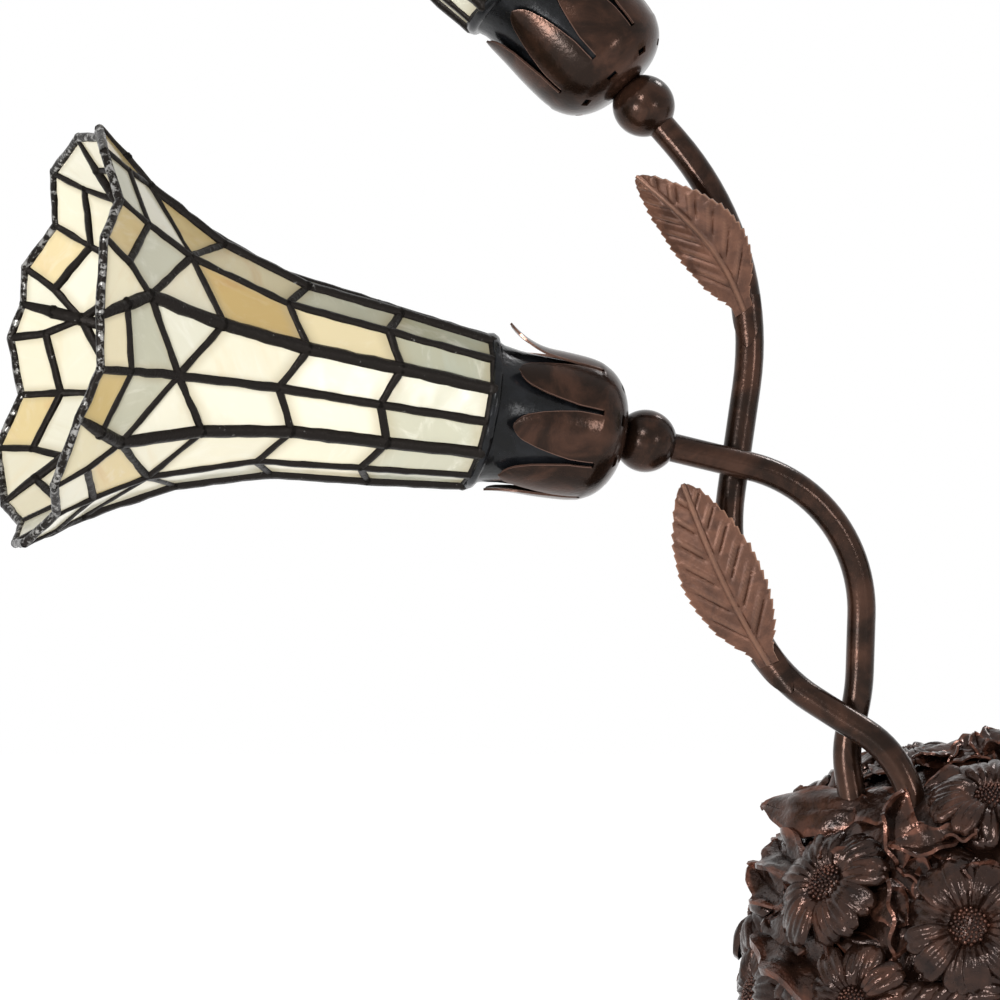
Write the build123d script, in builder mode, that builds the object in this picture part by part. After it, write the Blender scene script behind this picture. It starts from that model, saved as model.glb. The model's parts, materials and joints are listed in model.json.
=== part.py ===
from build123d import *
import math
import os

# Lily table lamp: three leaded-glass lily shades on bent stems that rise from a cast flower basket.
# Millimetres, +Z up, +X to the right and -Y towards the viewer. The origin is the middle of the foot.

os.makedirs("parts", exist_ok=True)

# Stem tubes
tube_od = 9.5
tube_wall = 1.0
tube_bore = tube_od - 2 * tube_wall
thread_gap = 0.1
slip_gap = 0.3

# Stem balls
ball_d = 20.7
ball_to_neck = 58.8
tube_grip = 5.0

# Petal cups
cup_petals = 8
cup_depth = 50.4
cup_flat_r = 9.0
cup_belly_r = 22.4
cup_belly_z = -38.0
cup_mouth_r = 26.0
cup_tip_z = -8.0
cup_sheet = 0.8
cup_corner_r = 10.0
slot_w = 1.8
slot_end_z = -38.5
slot_flare_z = -27.0
slot_vent_d = 2.2
vent_ring_r = 12.5
vent_count = 4

# Shade collars
collar_sheet = 0.8
collar_ring_r = 25.6
collar_ring_h = 3.4
neck_bore_r = 20.6

# Lily shades: along each seam, the lengths of its rows of panes, measured on the shade's axis
shade_petals = 7
neck_r = 24.3
heavy_rows = [32.0, 32.6, 30.9, 28.5, 19.0]
light_rows = [37.4, 35.2, 36.4, 17.5, 11.5]
row_apex = [-190, -257, -41.5, 19, 51.6]
shade_wall = 3.2
pane_thick = 2.2
seam_half = 1.7
pane_gap = 0.1

# Sockets and bulbs, candelabra size
nipple_d = 9.6
nipple_bore = 6.4
nipple_in_ball = 7.6
collar_nut_across = 12.7
collar_nut_h = 4.0
socket_d = 24.0
socket_wall = 2.4
socket_h = 32.0
socket_floor_h = 7.0
screw_shell_d = 13.6
screw_shell_wall = 0.5
cap_d = 11.9
cap_h = 15.5
cap_tip_h = 2.4
contact_d = 7.0
contact_h = 1.4
bulb_d = 22.0
bulb_h = 46.0

# Stamped leaves
leaf_sheet = 0.9
leaf_teeth = 11
tooth_depth = 1.3
clasp_l = 7.0

# Cast flower basket
foot_r = 72.0
rim_r = 83.0
rim_z = 88.0
rope_d = 8.4
weave_rows = 4
weave_bulge = 1.6
foot_band_h = 7.0
dome_r = 80.0
dome_rise = 76.0
dome_power = 2.5
dome_bands = 5
cast_wall = 4.5
flower_r = 21.0
flower_h = 5.5
flower_petals = 9
disc_r = 6.6
disc_h = 2.6
flower_sink = 4.0
ring_flowers = 9
flower_pitch = 360 / ring_flowers
flower_turn = 223.0
middle_flower_z = 118.0
lower_flower_z = 89.0
top_flower_z = 151.0
top_flower_turns = [266.0, 332.0, 80.0, 152.0]
cast_leaf_l = 36.0
cast_leaf_w = 22.0
cast_leaf_h = 3.0

# Leaves of the casting: azimuth and height of the stalk, then how far the blade turns and lifts
leaf_places = [
    (205, 132, 60, 25),
    (246, 134, -100, 18),
    (290, 134, -70, 20),
    (0, 132, -90, 20),
    (30, 126, 120, 20),
    (60, 132, 80, 20),
    (115, 132, 90, 20),
    (175, 134, 100, 20),
    (262, 152, 90, 30),
]

# Inside the basket
felt_h = 1.5
felt_r = 69.0
plate_h = 1.2
plate_r = 70.0
bracket_r = 71.0
bracket_h = 3.0
bracket_z = 97.0
stem_nut_across = 14.0
stem_nut_h = 4.0
stem_tail = 9.0
boss_r = 5.0
boss_ring_r = 64.0
boss_turn = 50.0
screw_d = 3.8
screw_head_d = 7.6
screw_head_h = 1.2
screw_l = 10.0
foot_boss_ring_r = 58.0
foot_boss_h = 14.0
foot_screws = 4
bushing_flange_d = 13.0
bushing_body_d = 10.0
bushing_bore = 6.6
bushing_flange_h = 1.6
bushing_l = 9.0
bushing_z = 15.0
bushing_seat_y = 69.0
foot_turn = 45.0
stem_hole_gap = 1.2
wire_hole_d = 30.0
connector_d = 13.0
connector_h = 22.0

foot_z = felt_h + plate_h


def heading(rise, swing):
    """Unit vector to the left, raised by rise and swung towards the viewer by swing, in degrees."""
    flat = math.cos(math.radians(swing))
    return Vector(
        -flat * math.cos(math.radians(rise)),
        -math.sin(math.radians(swing)),
        flat * math.sin(math.radians(rise)),
    )


def neck_frame(ball, axis, seam_turn):
    """Frame at the neck of a shade: Z runs out of the mouth and X points at a heavy seam."""
    viewer = Vector(0, -1, 0)
    facing = viewer - axis * viewer.dot(axis)
    seam = facing.rotate(Axis((0, 0, 0), axis), seam_turn)
    return Plane(origin=ball + axis * ball_to_neck, x_dir=seam, z_dir=axis)


# Stem routes: the middle of the ball, then the corners that the bends round off, then the tail
tail_z = bracket_z - stem_tail
route_a = [
    Vector(-118.7, -50.0, 270.0),
    Vector(-45.7, -34.0, 252.3),
    Vector(-47.7, -30.0, 186.7),
    Vector(-52.3, -29.0, 167.3),
    Vector(-47.7, -29.0, 137.3),
    Vector(-47.7, -29.0, tail_z),
]
bends_a = [50.0, 68.0, 37.0, 100.0]
route_b = [
    Vector(-119.0, -22.0, 381.0),
    Vector(-78.3, -28.5, 334.3),
    Vector(-92.7, -33.0, 235.0),
    Vector(-78.3, -37.0, 194.0),
    Vector(-39.3, -43.0, 169.3),
    Vector(-30.7, -43.0, 155.0),
    Vector(-28.7, -43.0, 136.7),
    Vector(-28.7, -43.0, tail_z),
]
bends_b = [102.0, 75.0, 52.0, 32.0, 34.0, 80.0]
route_c = [Vector(-p.X, -p.Y, p.Z) for p in route_a]

axis_a = heading(10.2, 12.15)
axis_b = heading(47.5, -6.0)
axis_c = Vector(-axis_a.X, -axis_a.Y, axis_a.Z)
lights = {
    "a": (route_a, bends_a, neck_frame(route_a[0], axis_a, 19.0)),
    "b": (route_b, bends_b, neck_frame(route_b[0], axis_b, 8.0)),
    "c": (route_c, bends_a, neck_frame(route_c[0], axis_c, 19.0)),
}


def beside(points, distance):
    """The open outline's corners moved to the left of its direction, for the far face of a sheet."""
    sides = []
    for (ax, ay), (bx, by) in zip(points, points[1:]):
        length = math.hypot(bx - ax, by - ay)
        sides.append(((ax, ay), ((bx - ax) / length, (by - ay) / length)))
    moved = []
    for i, (x, y) in enumerate(points):
        (_, (ux, uy)) = sides[max(i - 1, 0)]
        (_, (vx, vy)) = sides[min(i, len(sides) - 1)]
        spread = 1 + ux * vx + uy * vy
        moved.append((x - distance * (uy + vy) / spread, y + distance * (ux + vx) / spread))
    return moved


def spun_sheet(points, radii, thickness):
    """Revolved sheet metal: the outline is the outer face and the thickness lies to its left."""
    inner_radii = [max(r - thickness, 0) for r in radii]
    with BuildPart() as spun:
        with BuildSketch(Plane.XZ):
            with BuildLine():
                outer = FilletPolyline(*points, radius=radii)
                inner = FilletPolyline(*beside(points, thickness), radius=inner_radii)
                Line(outer @ 0, inner @ 0)
                Line(outer @ 1, inner @ 1)
            make_face()
        revolve(axis=Axis.Z)
    return spun.part


def save(node, part):
    """Label a finished piece and write it as one node."""
    part.label = node
    export_step(part, f"parts/{node}.step")


def place(part, frame):
    """A finished piece copied into the frame of one light."""
    with BuildPart() as placed:
        with Locations(frame.location):
            add(part)
    return placed.part


# Shade geometry: the seams alternate heavy and light, and each row of panes is flat between them
half_pitch = 180 / shade_petals
heavy_side = Vector(0, 1, 0)
light_side = Vector(0, 1, 0).rotate(Axis.Z, half_pitch)


def seam_points(rows, angle):
    """Outer corners of the panes along one seam, from the neck to the rim."""
    station = 0.0
    radius = neck_r
    points = [Vector(radius, 0, station).rotate(Axis.Z, angle)]
    for length, apex in zip(rows, row_apex):
        radius *= (station + length - apex) / (station - apex)
        station += length
        points.append(Vector(radius, 0, station).rotate(Axis.Z, angle))
    return points


def meet(first, second, third):
    """Common point of three planes, each given as a unit normal and a distance."""
    (n1, d1), (n2, d2), (n3, d3) = first, second, third
    total = n2.cross(n3) * d1 + n3.cross(n1) * d2 + n1.cross(n2) * d3
    return total / n1.dot(n2.cross(n3))


heavy_seam = seam_points(heavy_rows, 0)
light_seam = seam_points(light_rows, half_pitch)
facets = []
for i in range(len(row_apex)):
    edge = heavy_seam[i + 1] - heavy_seam[i]
    normal = (light_seam[i] - heavy_seam[i]).cross(edge).normalized()
    facets.append((normal, normal.dot(heavy_seam[i])))

rim_edge = (light_seam[-1] - heavy_seam[-1]).normalized()
rim_normal = rim_edge.cross(facets[-1][0]).normalized()
rim_plane = (rim_normal, rim_normal.dot(heavy_seam[-1]))
neck_plane = (Vector(0, 0, 1), 0.0)


def inner_points(side):
    """Inner corners of the panes where the shade's wall has its thickness, along one seam."""
    inner = [(normal, distance - shade_wall) for normal, distance in facets]
    ends = [neck_plane] + inner + [rim_plane]
    return [meet((side, 0.0), a, b) for a, b in zip(ends, ends[1:])]


heavy_inner = inner_points(heavy_side)
light_inner = inner_points(light_side)


def flat_outline(plane, corners):
    """Flat outline through points that lie on a plane."""
    with BuildSketch(plane) as flat:
        with BuildLine():
            Polyline(*[plane.to_local_coords(c) for c in corners], close=True)
        make_face()
    return flat.sketch


def inset_outline(plane, corners, margin):
    """The outline of those points seen square to a plane, drawn in by a margin."""
    seen = [plane.to_local_coords(c) for c in corners]
    with BuildSketch(plane) as drawn_in:
        with BuildLine():
            Polyline(*[(c.X, c.Y) for c in seen], close=True)
        make_face()
        offset(amount=-margin, kind=Kind.INTERSECTION, mode=Mode.REPLACE)
    return drawn_in.sketch


def on_facet(row, depth):
    """Working plane on a row's facet, a given depth under its outer face."""
    normal = facets[row][0]
    return Plane(origin=heavy_seam[row] - normal * depth, x_dir=rim_edge, z_dir=normal)


def quad(first_seam, second_seam, row):
    """Corners of one cell between two seams."""
    return [first_seam[row], first_seam[row + 1], second_seam[row + 1], second_seam[row]]


# One strip of the soldered lattice, from a heavy seam to a light one, with a window for each pane
with BuildPart() as came_strip:
    for row in range(len(row_apex)):
        outside = flat_outline(on_facet(row, 0), quad(heavy_seam, light_seam, row))
        inside = flat_outline(on_facet(row, shade_wall), quad(heavy_inner, light_inner, row))
        loft([outside, inside], ruled=True)
    for row in range(len(row_apex)):
        cell = quad(heavy_seam, light_seam, row)
        window = inset_outline(on_facet(row, shade_wall / 2), cell, seam_half)
        extrude(window, amount=shade_wall, both=True, mode=Mode.SUBTRACT)

# The panes of that strip, a little smaller than their windows
with BuildPart() as pane_strip:
    for row in range(len(row_apex)):
        cell = quad(heavy_seam, light_seam, row)
        pane = inset_outline(on_facet(row, shade_wall / 2), cell, seam_half + pane_gap)
        extrude(pane, amount=pane_thick / 2, both=True)


def all_round(strip):
    """Both strips of a petal, repeated round the shade."""
    with BuildPart() as ring:
        with PolarLocations(0, shade_petals):
            add(strip)
        with PolarLocations(0, shade_petals):
            add(mirror(strip, about=Plane.XZ, mode=Mode.PRIVATE))
    return ring.part


shade_came = all_round(came_strip.part)
shade_glass = all_round(pane_strip.part)

# Petal cup: a spun bowl slit into petals that open at their tips
slit_mouth = cup_mouth_r * math.sin(math.pi / cup_petals)
cup_points = [
    (nipple_d / 2 + thread_gap, -cup_depth),
    (cup_flat_r, -cup_depth),
    (cup_belly_r, cup_belly_z),
    (cup_mouth_r, cup_tip_z),
]
with BuildPart() as petal_cup:
    add(spun_sheet(cup_points, [0, cup_corner_r], cup_sheet))
    with BuildSketch(Plane.YZ):
        with BuildLine():
            slit_edge = [
                (slot_w / 2, slot_end_z),
                (slot_w / 2, slot_flare_z),
                (slot_w * 2, (slot_flare_z + cup_tip_z) / 2),
                (slit_mouth, cup_tip_z),
                (slit_mouth, cup_tip_z + 2 * cup_sheet),
            ]
            Polyline(*slit_edge, *[(-y, z) for y, z in reversed(slit_edge)], close=True)
        make_face()
    slit = extrude(amount=cup_mouth_r * 1.2, mode=Mode.PRIVATE)
    with PolarLocations(0, cup_petals, start_angle=17):
        add(slit, mode=Mode.SUBTRACT)
    with PolarLocations(vent_ring_r, vent_count, start_angle=17):
        Cylinder(slot_vent_d / 2, cup_depth * 3, mode=Mode.SUBTRACT)

# Shade collar: a spun cup that nests in the petals, soldered to the neck of the shade
collar_lift = cup_sheet + slip_gap
collar_points = beside(cup_points, collar_lift)
collar_shift = (nipple_d / 2 + slip_gap, collar_points[0][1])
collar_outline = [collar_shift, collar_points[1], collar_points[2], (neck_r - 0.8, -collar_ring_h / 2)]
collar_radii = [0, cup_corner_r - collar_lift]
with BuildPart() as shade_collar:
    add(spun_sheet(collar_outline, collar_radii, collar_sheet))
    with BuildSketch(Plane.XZ):
        with Locations(((collar_ring_r + neck_bore_r) / 2, -collar_ring_h / 2)):
            Rectangle(collar_ring_r - neck_bore_r, collar_ring_h)
        with Locations((collar_ring_r, -collar_ring_h / 2)):
            RegularPolygon(collar_ring_h / 2, 8, major_radius=False, rotation=22.5)
    revolve(axis=Axis.Z)

# Socket: housing with a bored foot, a brass screw shell in it and a contact on its floor
collar_floor_z = collar_points[0][1] + collar_sheet
nut_z = collar_floor_z + slip_gap
socket_z = nut_z + collar_nut_h
shell_z = socket_z + socket_floor_h
with BuildPart() as socket_housing:
    with BuildSketch(Plane.XY.offset(socket_z)):
        Circle(socket_d / 2)
        Circle(nipple_d / 2 + thread_gap, mode=Mode.SUBTRACT)
    extrude(amount=socket_floor_h - contact_h)
    with BuildSketch(Plane.XY.offset(shell_z - contact_h)):
        Circle(socket_d / 2)
        Circle(nipple_bore / 2, mode=Mode.SUBTRACT)
    extrude(amount=contact_h)
    with BuildSketch(Plane.XY.offset(shell_z)):
        Circle(socket_d / 2)
        Circle(socket_d / 2 - socket_wall, mode=Mode.SUBTRACT)
    extrude(amount=socket_h - socket_floor_h)

shell_top_z = socket_z + socket_h - 4
with BuildPart() as socket_shell:
    with BuildSketch(Plane.XY.offset(shell_z)):
        Circle(socket_d / 2 - socket_wall - thread_gap)
        Circle(contact_d / 2 + 1.2, mode=Mode.SUBTRACT)
    extrude(amount=screw_shell_wall)
    with BuildSketch(Plane.XY.offset(shell_z)):
        Circle(screw_shell_d / 2 + screw_shell_wall)
        Circle(screw_shell_d / 2, mode=Mode.SUBTRACT)
    extrude(amount=shell_top_z - shell_z)

with BuildPart() as socket_contact:
    with BuildSketch(Plane.XY.offset(shell_z)):
        Circle(contact_d / 2)
    extrude(amount=contact_h)

# Bulb: a screw cap with its tip on the contact and a small pointed glass
cap_z = shell_z + contact_h + cap_tip_h + slip_gap
with BuildPart() as bulb_cap:
    with BuildSketch(Plane.XY.offset(cap_z)):
        Circle(cap_d / 2)
    extrude(amount=cap_h)
    with BuildSketch(Plane.XY.offset(cap_z)):
        Circle(contact_d / 2)
    extrude(amount=-cap_tip_h, taper=25)

glass_z = cap_z + cap_h
with BuildPart() as bulb_glass:
    with BuildSketch(Plane.XZ):
        with BuildLine():
            side = FilletPolyline(
                (0, glass_z),
                (cap_d / 2, glass_z),
                (bulb_d / 2, glass_z + bulb_h * 0.42),
                (bulb_d * 0.4, glass_z + bulb_h * 0.8),
                (0, glass_z + bulb_h),
                radius=[0, bulb_d / 2, bulb_d / 2],
            )
            Line(side @ 1, side @ 0)
        make_face()
    revolve(axis=Axis.Z)

with BuildPart() as nipple:
    with BuildSketch(Plane.XY.offset(-cup_depth - nipple_in_ball)):
        Circle(nipple_d / 2)
        Circle(nipple_bore / 2, mode=Mode.SUBTRACT)
    extrude(amount=nipple_in_ball + cup_depth + shell_z - contact_h - slip_gap)

with BuildPart() as collar_nut:
    with BuildSketch(Plane.XY.offset(nut_z)):
        RegularPolygon(collar_nut_across / 2, 6, major_radius=False)
        Circle(nipple_d / 2 + thread_gap, mode=Mode.SUBTRACT)
    extrude(amount=collar_nut_h)

shared = {
    "shade_came": shade_came,
    "shade_glass": shade_glass,
    "petal_cup": petal_cup.part,
    "shade_collar": shade_collar.part,
    "socket_housing": socket_housing.part,
    "socket_shell": socket_shell.part,
    "socket_contact": socket_contact.part,
    "bulb_cap": bulb_cap.part,
    "bulb_glass": bulb_glass.part,
    "nipple": nipple.part,
    "collar_nut": collar_nut.part,
}
for mark, (route, bends, frame) in lights.items():
    for name, part in shared.items():
        save(f"{name}_{mark}", place(part, frame))

# Stem ball as turned: the socket of the tube and the bore for the wires, on the tube's axis
tube_seat = ball_d / 2 - tube_grip
with BuildPart() as ball_blank:
    with BuildSketch(Plane.XZ):
        Circle(ball_d / 2)
        with Locations((0, tube_seat)):
            Rectangle(tube_od + 2 * thread_gap, ball_d, align=(Align.CENTER, Align.MIN), mode=Mode.SUBTRACT)
        with Locations((0, -nipple_bore / 2)):
            Rectangle(nipple_bore, ball_d, align=(Align.CENTER, Align.MIN), mode=Mode.SUBTRACT)
        Rectangle(ball_d, ball_d * 2, align=(Align.MAX, Align.CENTER), mode=Mode.SUBTRACT)
    revolve(axis=Axis.Z)

# Stem balls, cut flat and bored for the nipple where the cup sits, and stem tubes
stem_lines = {}
stem_ways = []
for mark, (route, bends, frame) in lights.items():
    middle = route[0]
    away = (route[1] - route[0]).normalized()
    tube_end = middle + away * tube_seat
    flat_face = frame.offset(-cup_depth)
    with BuildPart() as stem_ball:
        with Locations(Plane(origin=middle, z_dir=away).location):
            add(ball_blank.part)
        with BuildSketch(flat_face):
            Circle(ball_d / 2)
        extrude(amount=ball_d / 2, mode=Mode.SUBTRACT)
        with BuildSketch(flat_face):
            Circle(nipple_d / 2 + thread_gap)
        extrude(amount=-(nipple_in_ball + slip_gap), mode=Mode.SUBTRACT)
    save(f"stem_ball_{mark}", stem_ball.part)

    with BuildPart() as stem_tube:
        with BuildLine() as stem_line:
            FilletPolyline(tube_end, *route[1:], radius=bends)
        with BuildSketch(Plane(origin=tube_end, z_dir=away)):
            Circle(tube_od / 2)
            Circle(tube_bore / 2, mode=Mode.SUBTRACT)
        sweep(path=stem_line.wires()[0])
    stem_lines[mark] = stem_line.wires()[0]
    save(f"stem_tube_{mark}", stem_tube.part)

    # What the casting leaves open for that stem
    with BuildPart() as stem_way:
        with BuildLine() as low_line:
            FilletPolyline(*route[-5:], radius=bends[-3:])
        with BuildSketch(Plane(origin=route[-5], z_dir=route[-4] - route[-5])):
            Circle(tube_od / 2 + stem_hole_gap)
        sweep(path=low_line.wires()[0])
    stem_ways.append(stem_way.part)


# Stamped leaves: a serrated outline cut from a sheet that is bowed along its length
def stamped_leaf(length, width, bow_r):
    """Leaf blade from its stalk at the origin along +X, crowned towards +Z."""
    steps = leaf_teeth * 2
    edge = []
    for k in range(1, steps):
        share = k / steps
        half = width / 2 * math.sin(math.pi * share ** 0.85) ** 0.8
        edge.append((length * share, half + (tooth_depth if k % 2 else 0)))
    outline = [(0, 1.6)] + edge + [(length, 0)] + [(x, -y) for x, y in reversed(edge)] + [(0, -1.6)]
    with BuildPart() as blade:
        with BuildSketch(Plane.XZ):
            with BuildLine():
                crown = SagittaArc((0, 0), (length, 0), length * length / (8 * bow_r))
                roof = SagittaArc(
                    (0, leaf_sheet), (length, leaf_sheet), length * length / (8 * bow_r)
                )
                Line(crown @ 0, roof @ 0)
                Line(crown @ 1, roof @ 1)
            make_face()
        extrude(amount=width, both=True)
        with BuildSketch(Plane.XY):
            Polygon(*outline, align=None)
        extrude(amount=length, both=True, mode=Mode.INTERSECT)
    return blade.part


def stem_leaf(share, tip, side, width, bow_r):
    """Stamped leaf with a clasp round stem b, at a share of the stem's length from its ball."""
    centre = stem_lines["b"] @ share
    run = stem_lines["b"] % share
    facing = Vector(side, -1, 0)
    facing = (facing - run * facing.dot(run)).normalized()
    stalk = centre + facing * (tube_od / 2 + slip_gap)
    along = (tip - stalk).normalized()
    normal = (facing - along * facing.dot(along)).normalized()
    with BuildPart() as leaf:
        with BuildSketch(Plane(origin=centre, x_dir=facing, z_dir=run)):
            Circle(tube_od / 2 + slip_gap + leaf_sheet)
            Circle(tube_od / 2 + slip_gap, mode=Mode.SUBTRACT)
            Rectangle(tube_od, tube_od * 2, align=(Align.MAX, Align.CENTER), mode=Mode.SUBTRACT)
        extrude(amount=clasp_l / 2, both=True)
        with Locations(Plane(origin=stalk, x_dir=along, z_dir=normal).location):
            add(stamped_leaf((tip - stalk).length, width, bow_r))
    return leaf.part


save("leaf_lower", stem_leaf(0.598, Vector(-106.0, -52.0, 255.7), -0.2, 27.0, 120.0))
save("leaf_upper", stem_leaf(0.226, Vector(-121.3, -42.0, 357.7), -0.4, 24.0, 60.0))


# Cast flower basket: the woven wall, the rope on its rim and the dome that carries the flowers
def dome_point(azimuth, height, lift):
    """Frame on the dome at an azimuth and height, lifted off its face, with Z out of the face."""
    rise = (height - rim_z) / dome_rise
    across = (1 - rise ** dome_power) ** (1 / dome_power)
    slope = dome_power - 1
    out = Vector(across ** slope / dome_r, 0, rise ** slope / dome_rise).normalized()
    point = Vector(dome_r * across, 0, height) + out * lift
    level = Vector(0, 1, 0).rotate(Axis.Z, azimuth)
    return Plane(origin=point.rotate(Axis.Z, azimuth), x_dir=level, z_dir=out.rotate(Axis.Z, azimuth))


weave_z = foot_z + foot_band_h
weave_h = (rim_z - weave_z) / weave_rows
weave_lean = (rim_r - foot_r) / (rim_z - weave_z)
weave_outline = []
for k in range(2 * weave_rows + 1):
    bulge = weave_bulge if k % 2 else 0
    level = k * weave_h / 2
    weave_outline.append((foot_r + weave_lean * level + bulge, weave_z + level))


def dome_outline(inset):
    """Half outline of the dome from its rim to its top, moved in by an inset."""
    outline = []
    for k in range(dome_bands + 1):
        turn = math.radians(90 * k / dome_bands)
        across = (dome_r - inset) * abs(math.cos(turn)) ** (2 / dome_power)
        outline.append((across, rim_z + (dome_rise - inset) * math.sin(turn) ** (2 / dome_power)))
    return outline


with BuildPart() as core:
    with BuildSketch(Plane.XZ):
        Polygon((0, foot_z), (foot_r, foot_z), *weave_outline, *dome_outline(0), align=None)
        with Locations((rim_r, rim_z)):
            Circle(rope_d / 2)
    revolve(axis=Axis.Z)

with BuildPart() as cavity:
    with BuildSketch(Plane.XZ):
        Polygon((0, foot_z), (foot_r - cast_wall, foot_z), *dome_outline(cast_wall), align=None)
    revolve(axis=Axis.Z)


def star(radius):
    """Corners of a flower's outline: each petal is blunt at its tip and narrow at its root."""
    pitch = 2 * math.pi / flower_petals
    corners = []
    for k in range(flower_petals):
        for share, reach in ((0.5, 0.55), (0.76, 1.0), (1.24, 1.0)):
            turn = pitch * (k + share)
            corners.append((radius * reach * math.cos(turn), radius * reach * math.sin(turn)))
    return corners


flower_top_z = flower_sink + flower_h
with BuildPart() as flower:
    with BuildSketch(Plane.XY):
        Polygon(*star(flower_r), align=None)
    extrude(amount=flower_top_z)
    with BuildSketch(Plane.XY.offset(flower_top_z)):
        RegularPolygon(disc_r, 10)
    extrude(amount=disc_h)

with BuildPart() as cast_leaf:
    with BuildSketch(Plane.XY):
        half_w = cast_leaf_w / 2
        blade = [(0, 0.45), (0.25, 0.9), (0.5, 1.0), (0.75, 0.66), (1, 0)]
        upper = [(cast_leaf_l * x, half_w * y) for x, y in blade]
        Polygon(*upper, *[(x, -y) for x, y in reversed(upper[:-1])], align=None)
    extrude(amount=cast_leaf_h)

middle_ring = [(flower_turn + flower_pitch * k, middle_flower_z) for k in range(ring_flowers)]
lower_turn = flower_turn + flower_pitch / 2
lower_ring = [(lower_turn + flower_pitch * k, lower_flower_z) for k in range(ring_flowers)]
top_ring = [(azimuth, top_flower_z) for azimuth in top_flower_turns]
flower_seats = [
    dome_point(azimuth, height, -flower_sink).location
    for azimuth, height in middle_ring + lower_ring + top_ring
]
leaf_seats = []
for azimuth, height, turn, lift in leaf_places:
    seat = dome_point(azimuth, height, -cast_leaf_h).location
    leaf_seats.append(seat * Rotation(0, 0, turn) * Rotation(0, -lift, 0))
with BuildPart() as base_casting:
    add(core.part)
    with Locations(*flower_seats):
        add(flower.part)
    with Locations(*leaf_seats):
        add(cast_leaf.part)
    add(cavity.part, mode=Mode.SUBTRACT)
    with BuildSketch(Plane.XY.offset(bracket_z + bracket_h)) as boss_sketch:
        with PolarLocations(boss_ring_r, 3, start_angle=boss_turn):
            Circle(boss_r)
    bosses = extrude(amount=dome_rise, mode=Mode.PRIVATE)
    add(bosses.intersect(core.part))
    with BuildSketch(Plane.XY.offset(foot_z)):
        with PolarLocations(foot_boss_ring_r, foot_screws, start_angle=foot_turn):
            Circle(boss_r)
            Rectangle(2 * (foot_r - cast_wall - foot_boss_ring_r), boss_r, align=(Align.MIN, Align.CENTER))
    foot_bosses = extrude(amount=foot_boss_h, mode=Mode.PRIVATE)
    add(foot_bosses.intersect(core.part))
    with BuildSketch(Plane.XY.offset(bracket_z + bracket_h)):
        with PolarLocations(boss_ring_r, 3, start_angle=boss_turn):
            Circle(screw_d / 2 + thread_gap)
    extrude(amount=screw_l, mode=Mode.SUBTRACT)
    with BuildSketch(Plane.XY.offset(foot_z)):
        with PolarLocations(foot_boss_ring_r, foot_screws, start_angle=foot_turn):
            Circle(screw_d / 2 + thread_gap)
    extrude(amount=screw_l, mode=Mode.SUBTRACT)
    for stem_way_part in stem_ways:
        add(stem_way_part, mode=Mode.SUBTRACT)
    with BuildSketch(Plane(origin=(0, bushing_seat_y, bushing_z), z_dir=(0, 1, 0))):
        Circle(bushing_flange_d / 2 + slip_gap)
    extrude(amount=foot_r, mode=Mode.SUBTRACT)
    with BuildSketch(Plane(origin=(0, bushing_seat_y, bushing_z), z_dir=(0, 1, 0))):
        Circle(bushing_body_d / 2 + slip_gap)
    extrude(amount=-bushing_l * 2, mode=Mode.SUBTRACT)
save("base_casting", base_casting.part)

with BuildPart() as cord_bushing:
    with BuildSketch(Plane(origin=(0, bushing_seat_y, bushing_z), z_dir=(0, 1, 0))):
        Circle(bushing_flange_d / 2)
        Circle(bushing_bore / 2, mode=Mode.SUBTRACT)
    extrude(amount=bushing_flange_h)
    with BuildSketch(Plane(origin=(0, bushing_seat_y, bushing_z), z_dir=(0, 1, 0))):
        Circle(bushing_body_d / 2)
        Circle(bushing_bore / 2, mode=Mode.SUBTRACT)
    extrude(amount=-bushing_l)
save("cord_bushing", cord_bushing.part)

# Stem bracket with its nuts and screws
stem_spots = [(route[-1].X, route[-1].Y) for route, bends, frame in lights.values()]
with BuildPart() as stem_bracket:
    with BuildSketch(Plane.XY.offset(bracket_z)):
        Circle(bracket_r)
        with Locations(*stem_spots):
            Circle(tube_od / 2 + thread_gap, mode=Mode.SUBTRACT)
        with PolarLocations(boss_ring_r, 3, start_angle=boss_turn):
            Circle(screw_d / 2 + thread_gap, mode=Mode.SUBTRACT)
        Circle(wire_hole_d / 2, mode=Mode.SUBTRACT)
    extrude(amount=bracket_h)
save("stem_bracket", stem_bracket.part)

with BuildPart() as stem_nuts:
    for nut_level in (bracket_z - stem_nut_h, bracket_z + bracket_h):
        with BuildSketch(Plane.XY.offset(nut_level)):
            with Locations(*stem_spots):
                RegularPolygon(stem_nut_across / 2, 6, major_radius=False)
                Circle(tube_od / 2 + thread_gap, mode=Mode.SUBTRACT)
        extrude(amount=stem_nut_h)
save("stem_nuts", stem_nuts.part)


def screw_group(ring_r, count, turn, seat_z, length):
    """Screws on a ring, driven upwards, with their heads under the seat."""
    with BuildPart() as group:
        with BuildSketch(Plane.XY.offset(seat_z - screw_head_h)):
            with PolarLocations(ring_r, count, start_angle=turn):
                Circle(screw_head_d / 2)
        extrude(amount=screw_head_h)
        with BuildSketch(Plane.XY.offset(seat_z)):
            with PolarLocations(ring_r, count, start_angle=turn):
                Circle(screw_d / 2)
        extrude(amount=length)
    return group.part


save("bracket_screws", screw_group(boss_ring_r, 3, boss_turn, bracket_z, bracket_h + screw_l - 1))
save("plate_screws", screw_group(foot_boss_ring_r, foot_screws, foot_turn, felt_h, plate_h + screw_l - 1))

# Bottom plate, felt and the wire connectors that lie on the plate
with BuildPart() as bottom_plate:
    with BuildSketch(Plane.XY.offset(felt_h)):
        Circle(plate_r)
        with PolarLocations(foot_boss_ring_r, foot_screws, start_angle=foot_turn):
            Circle(screw_d / 2 + thread_gap, mode=Mode.SUBTRACT)
    extrude(amount=plate_h)
save("bottom_plate", bottom_plate.part)

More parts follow.
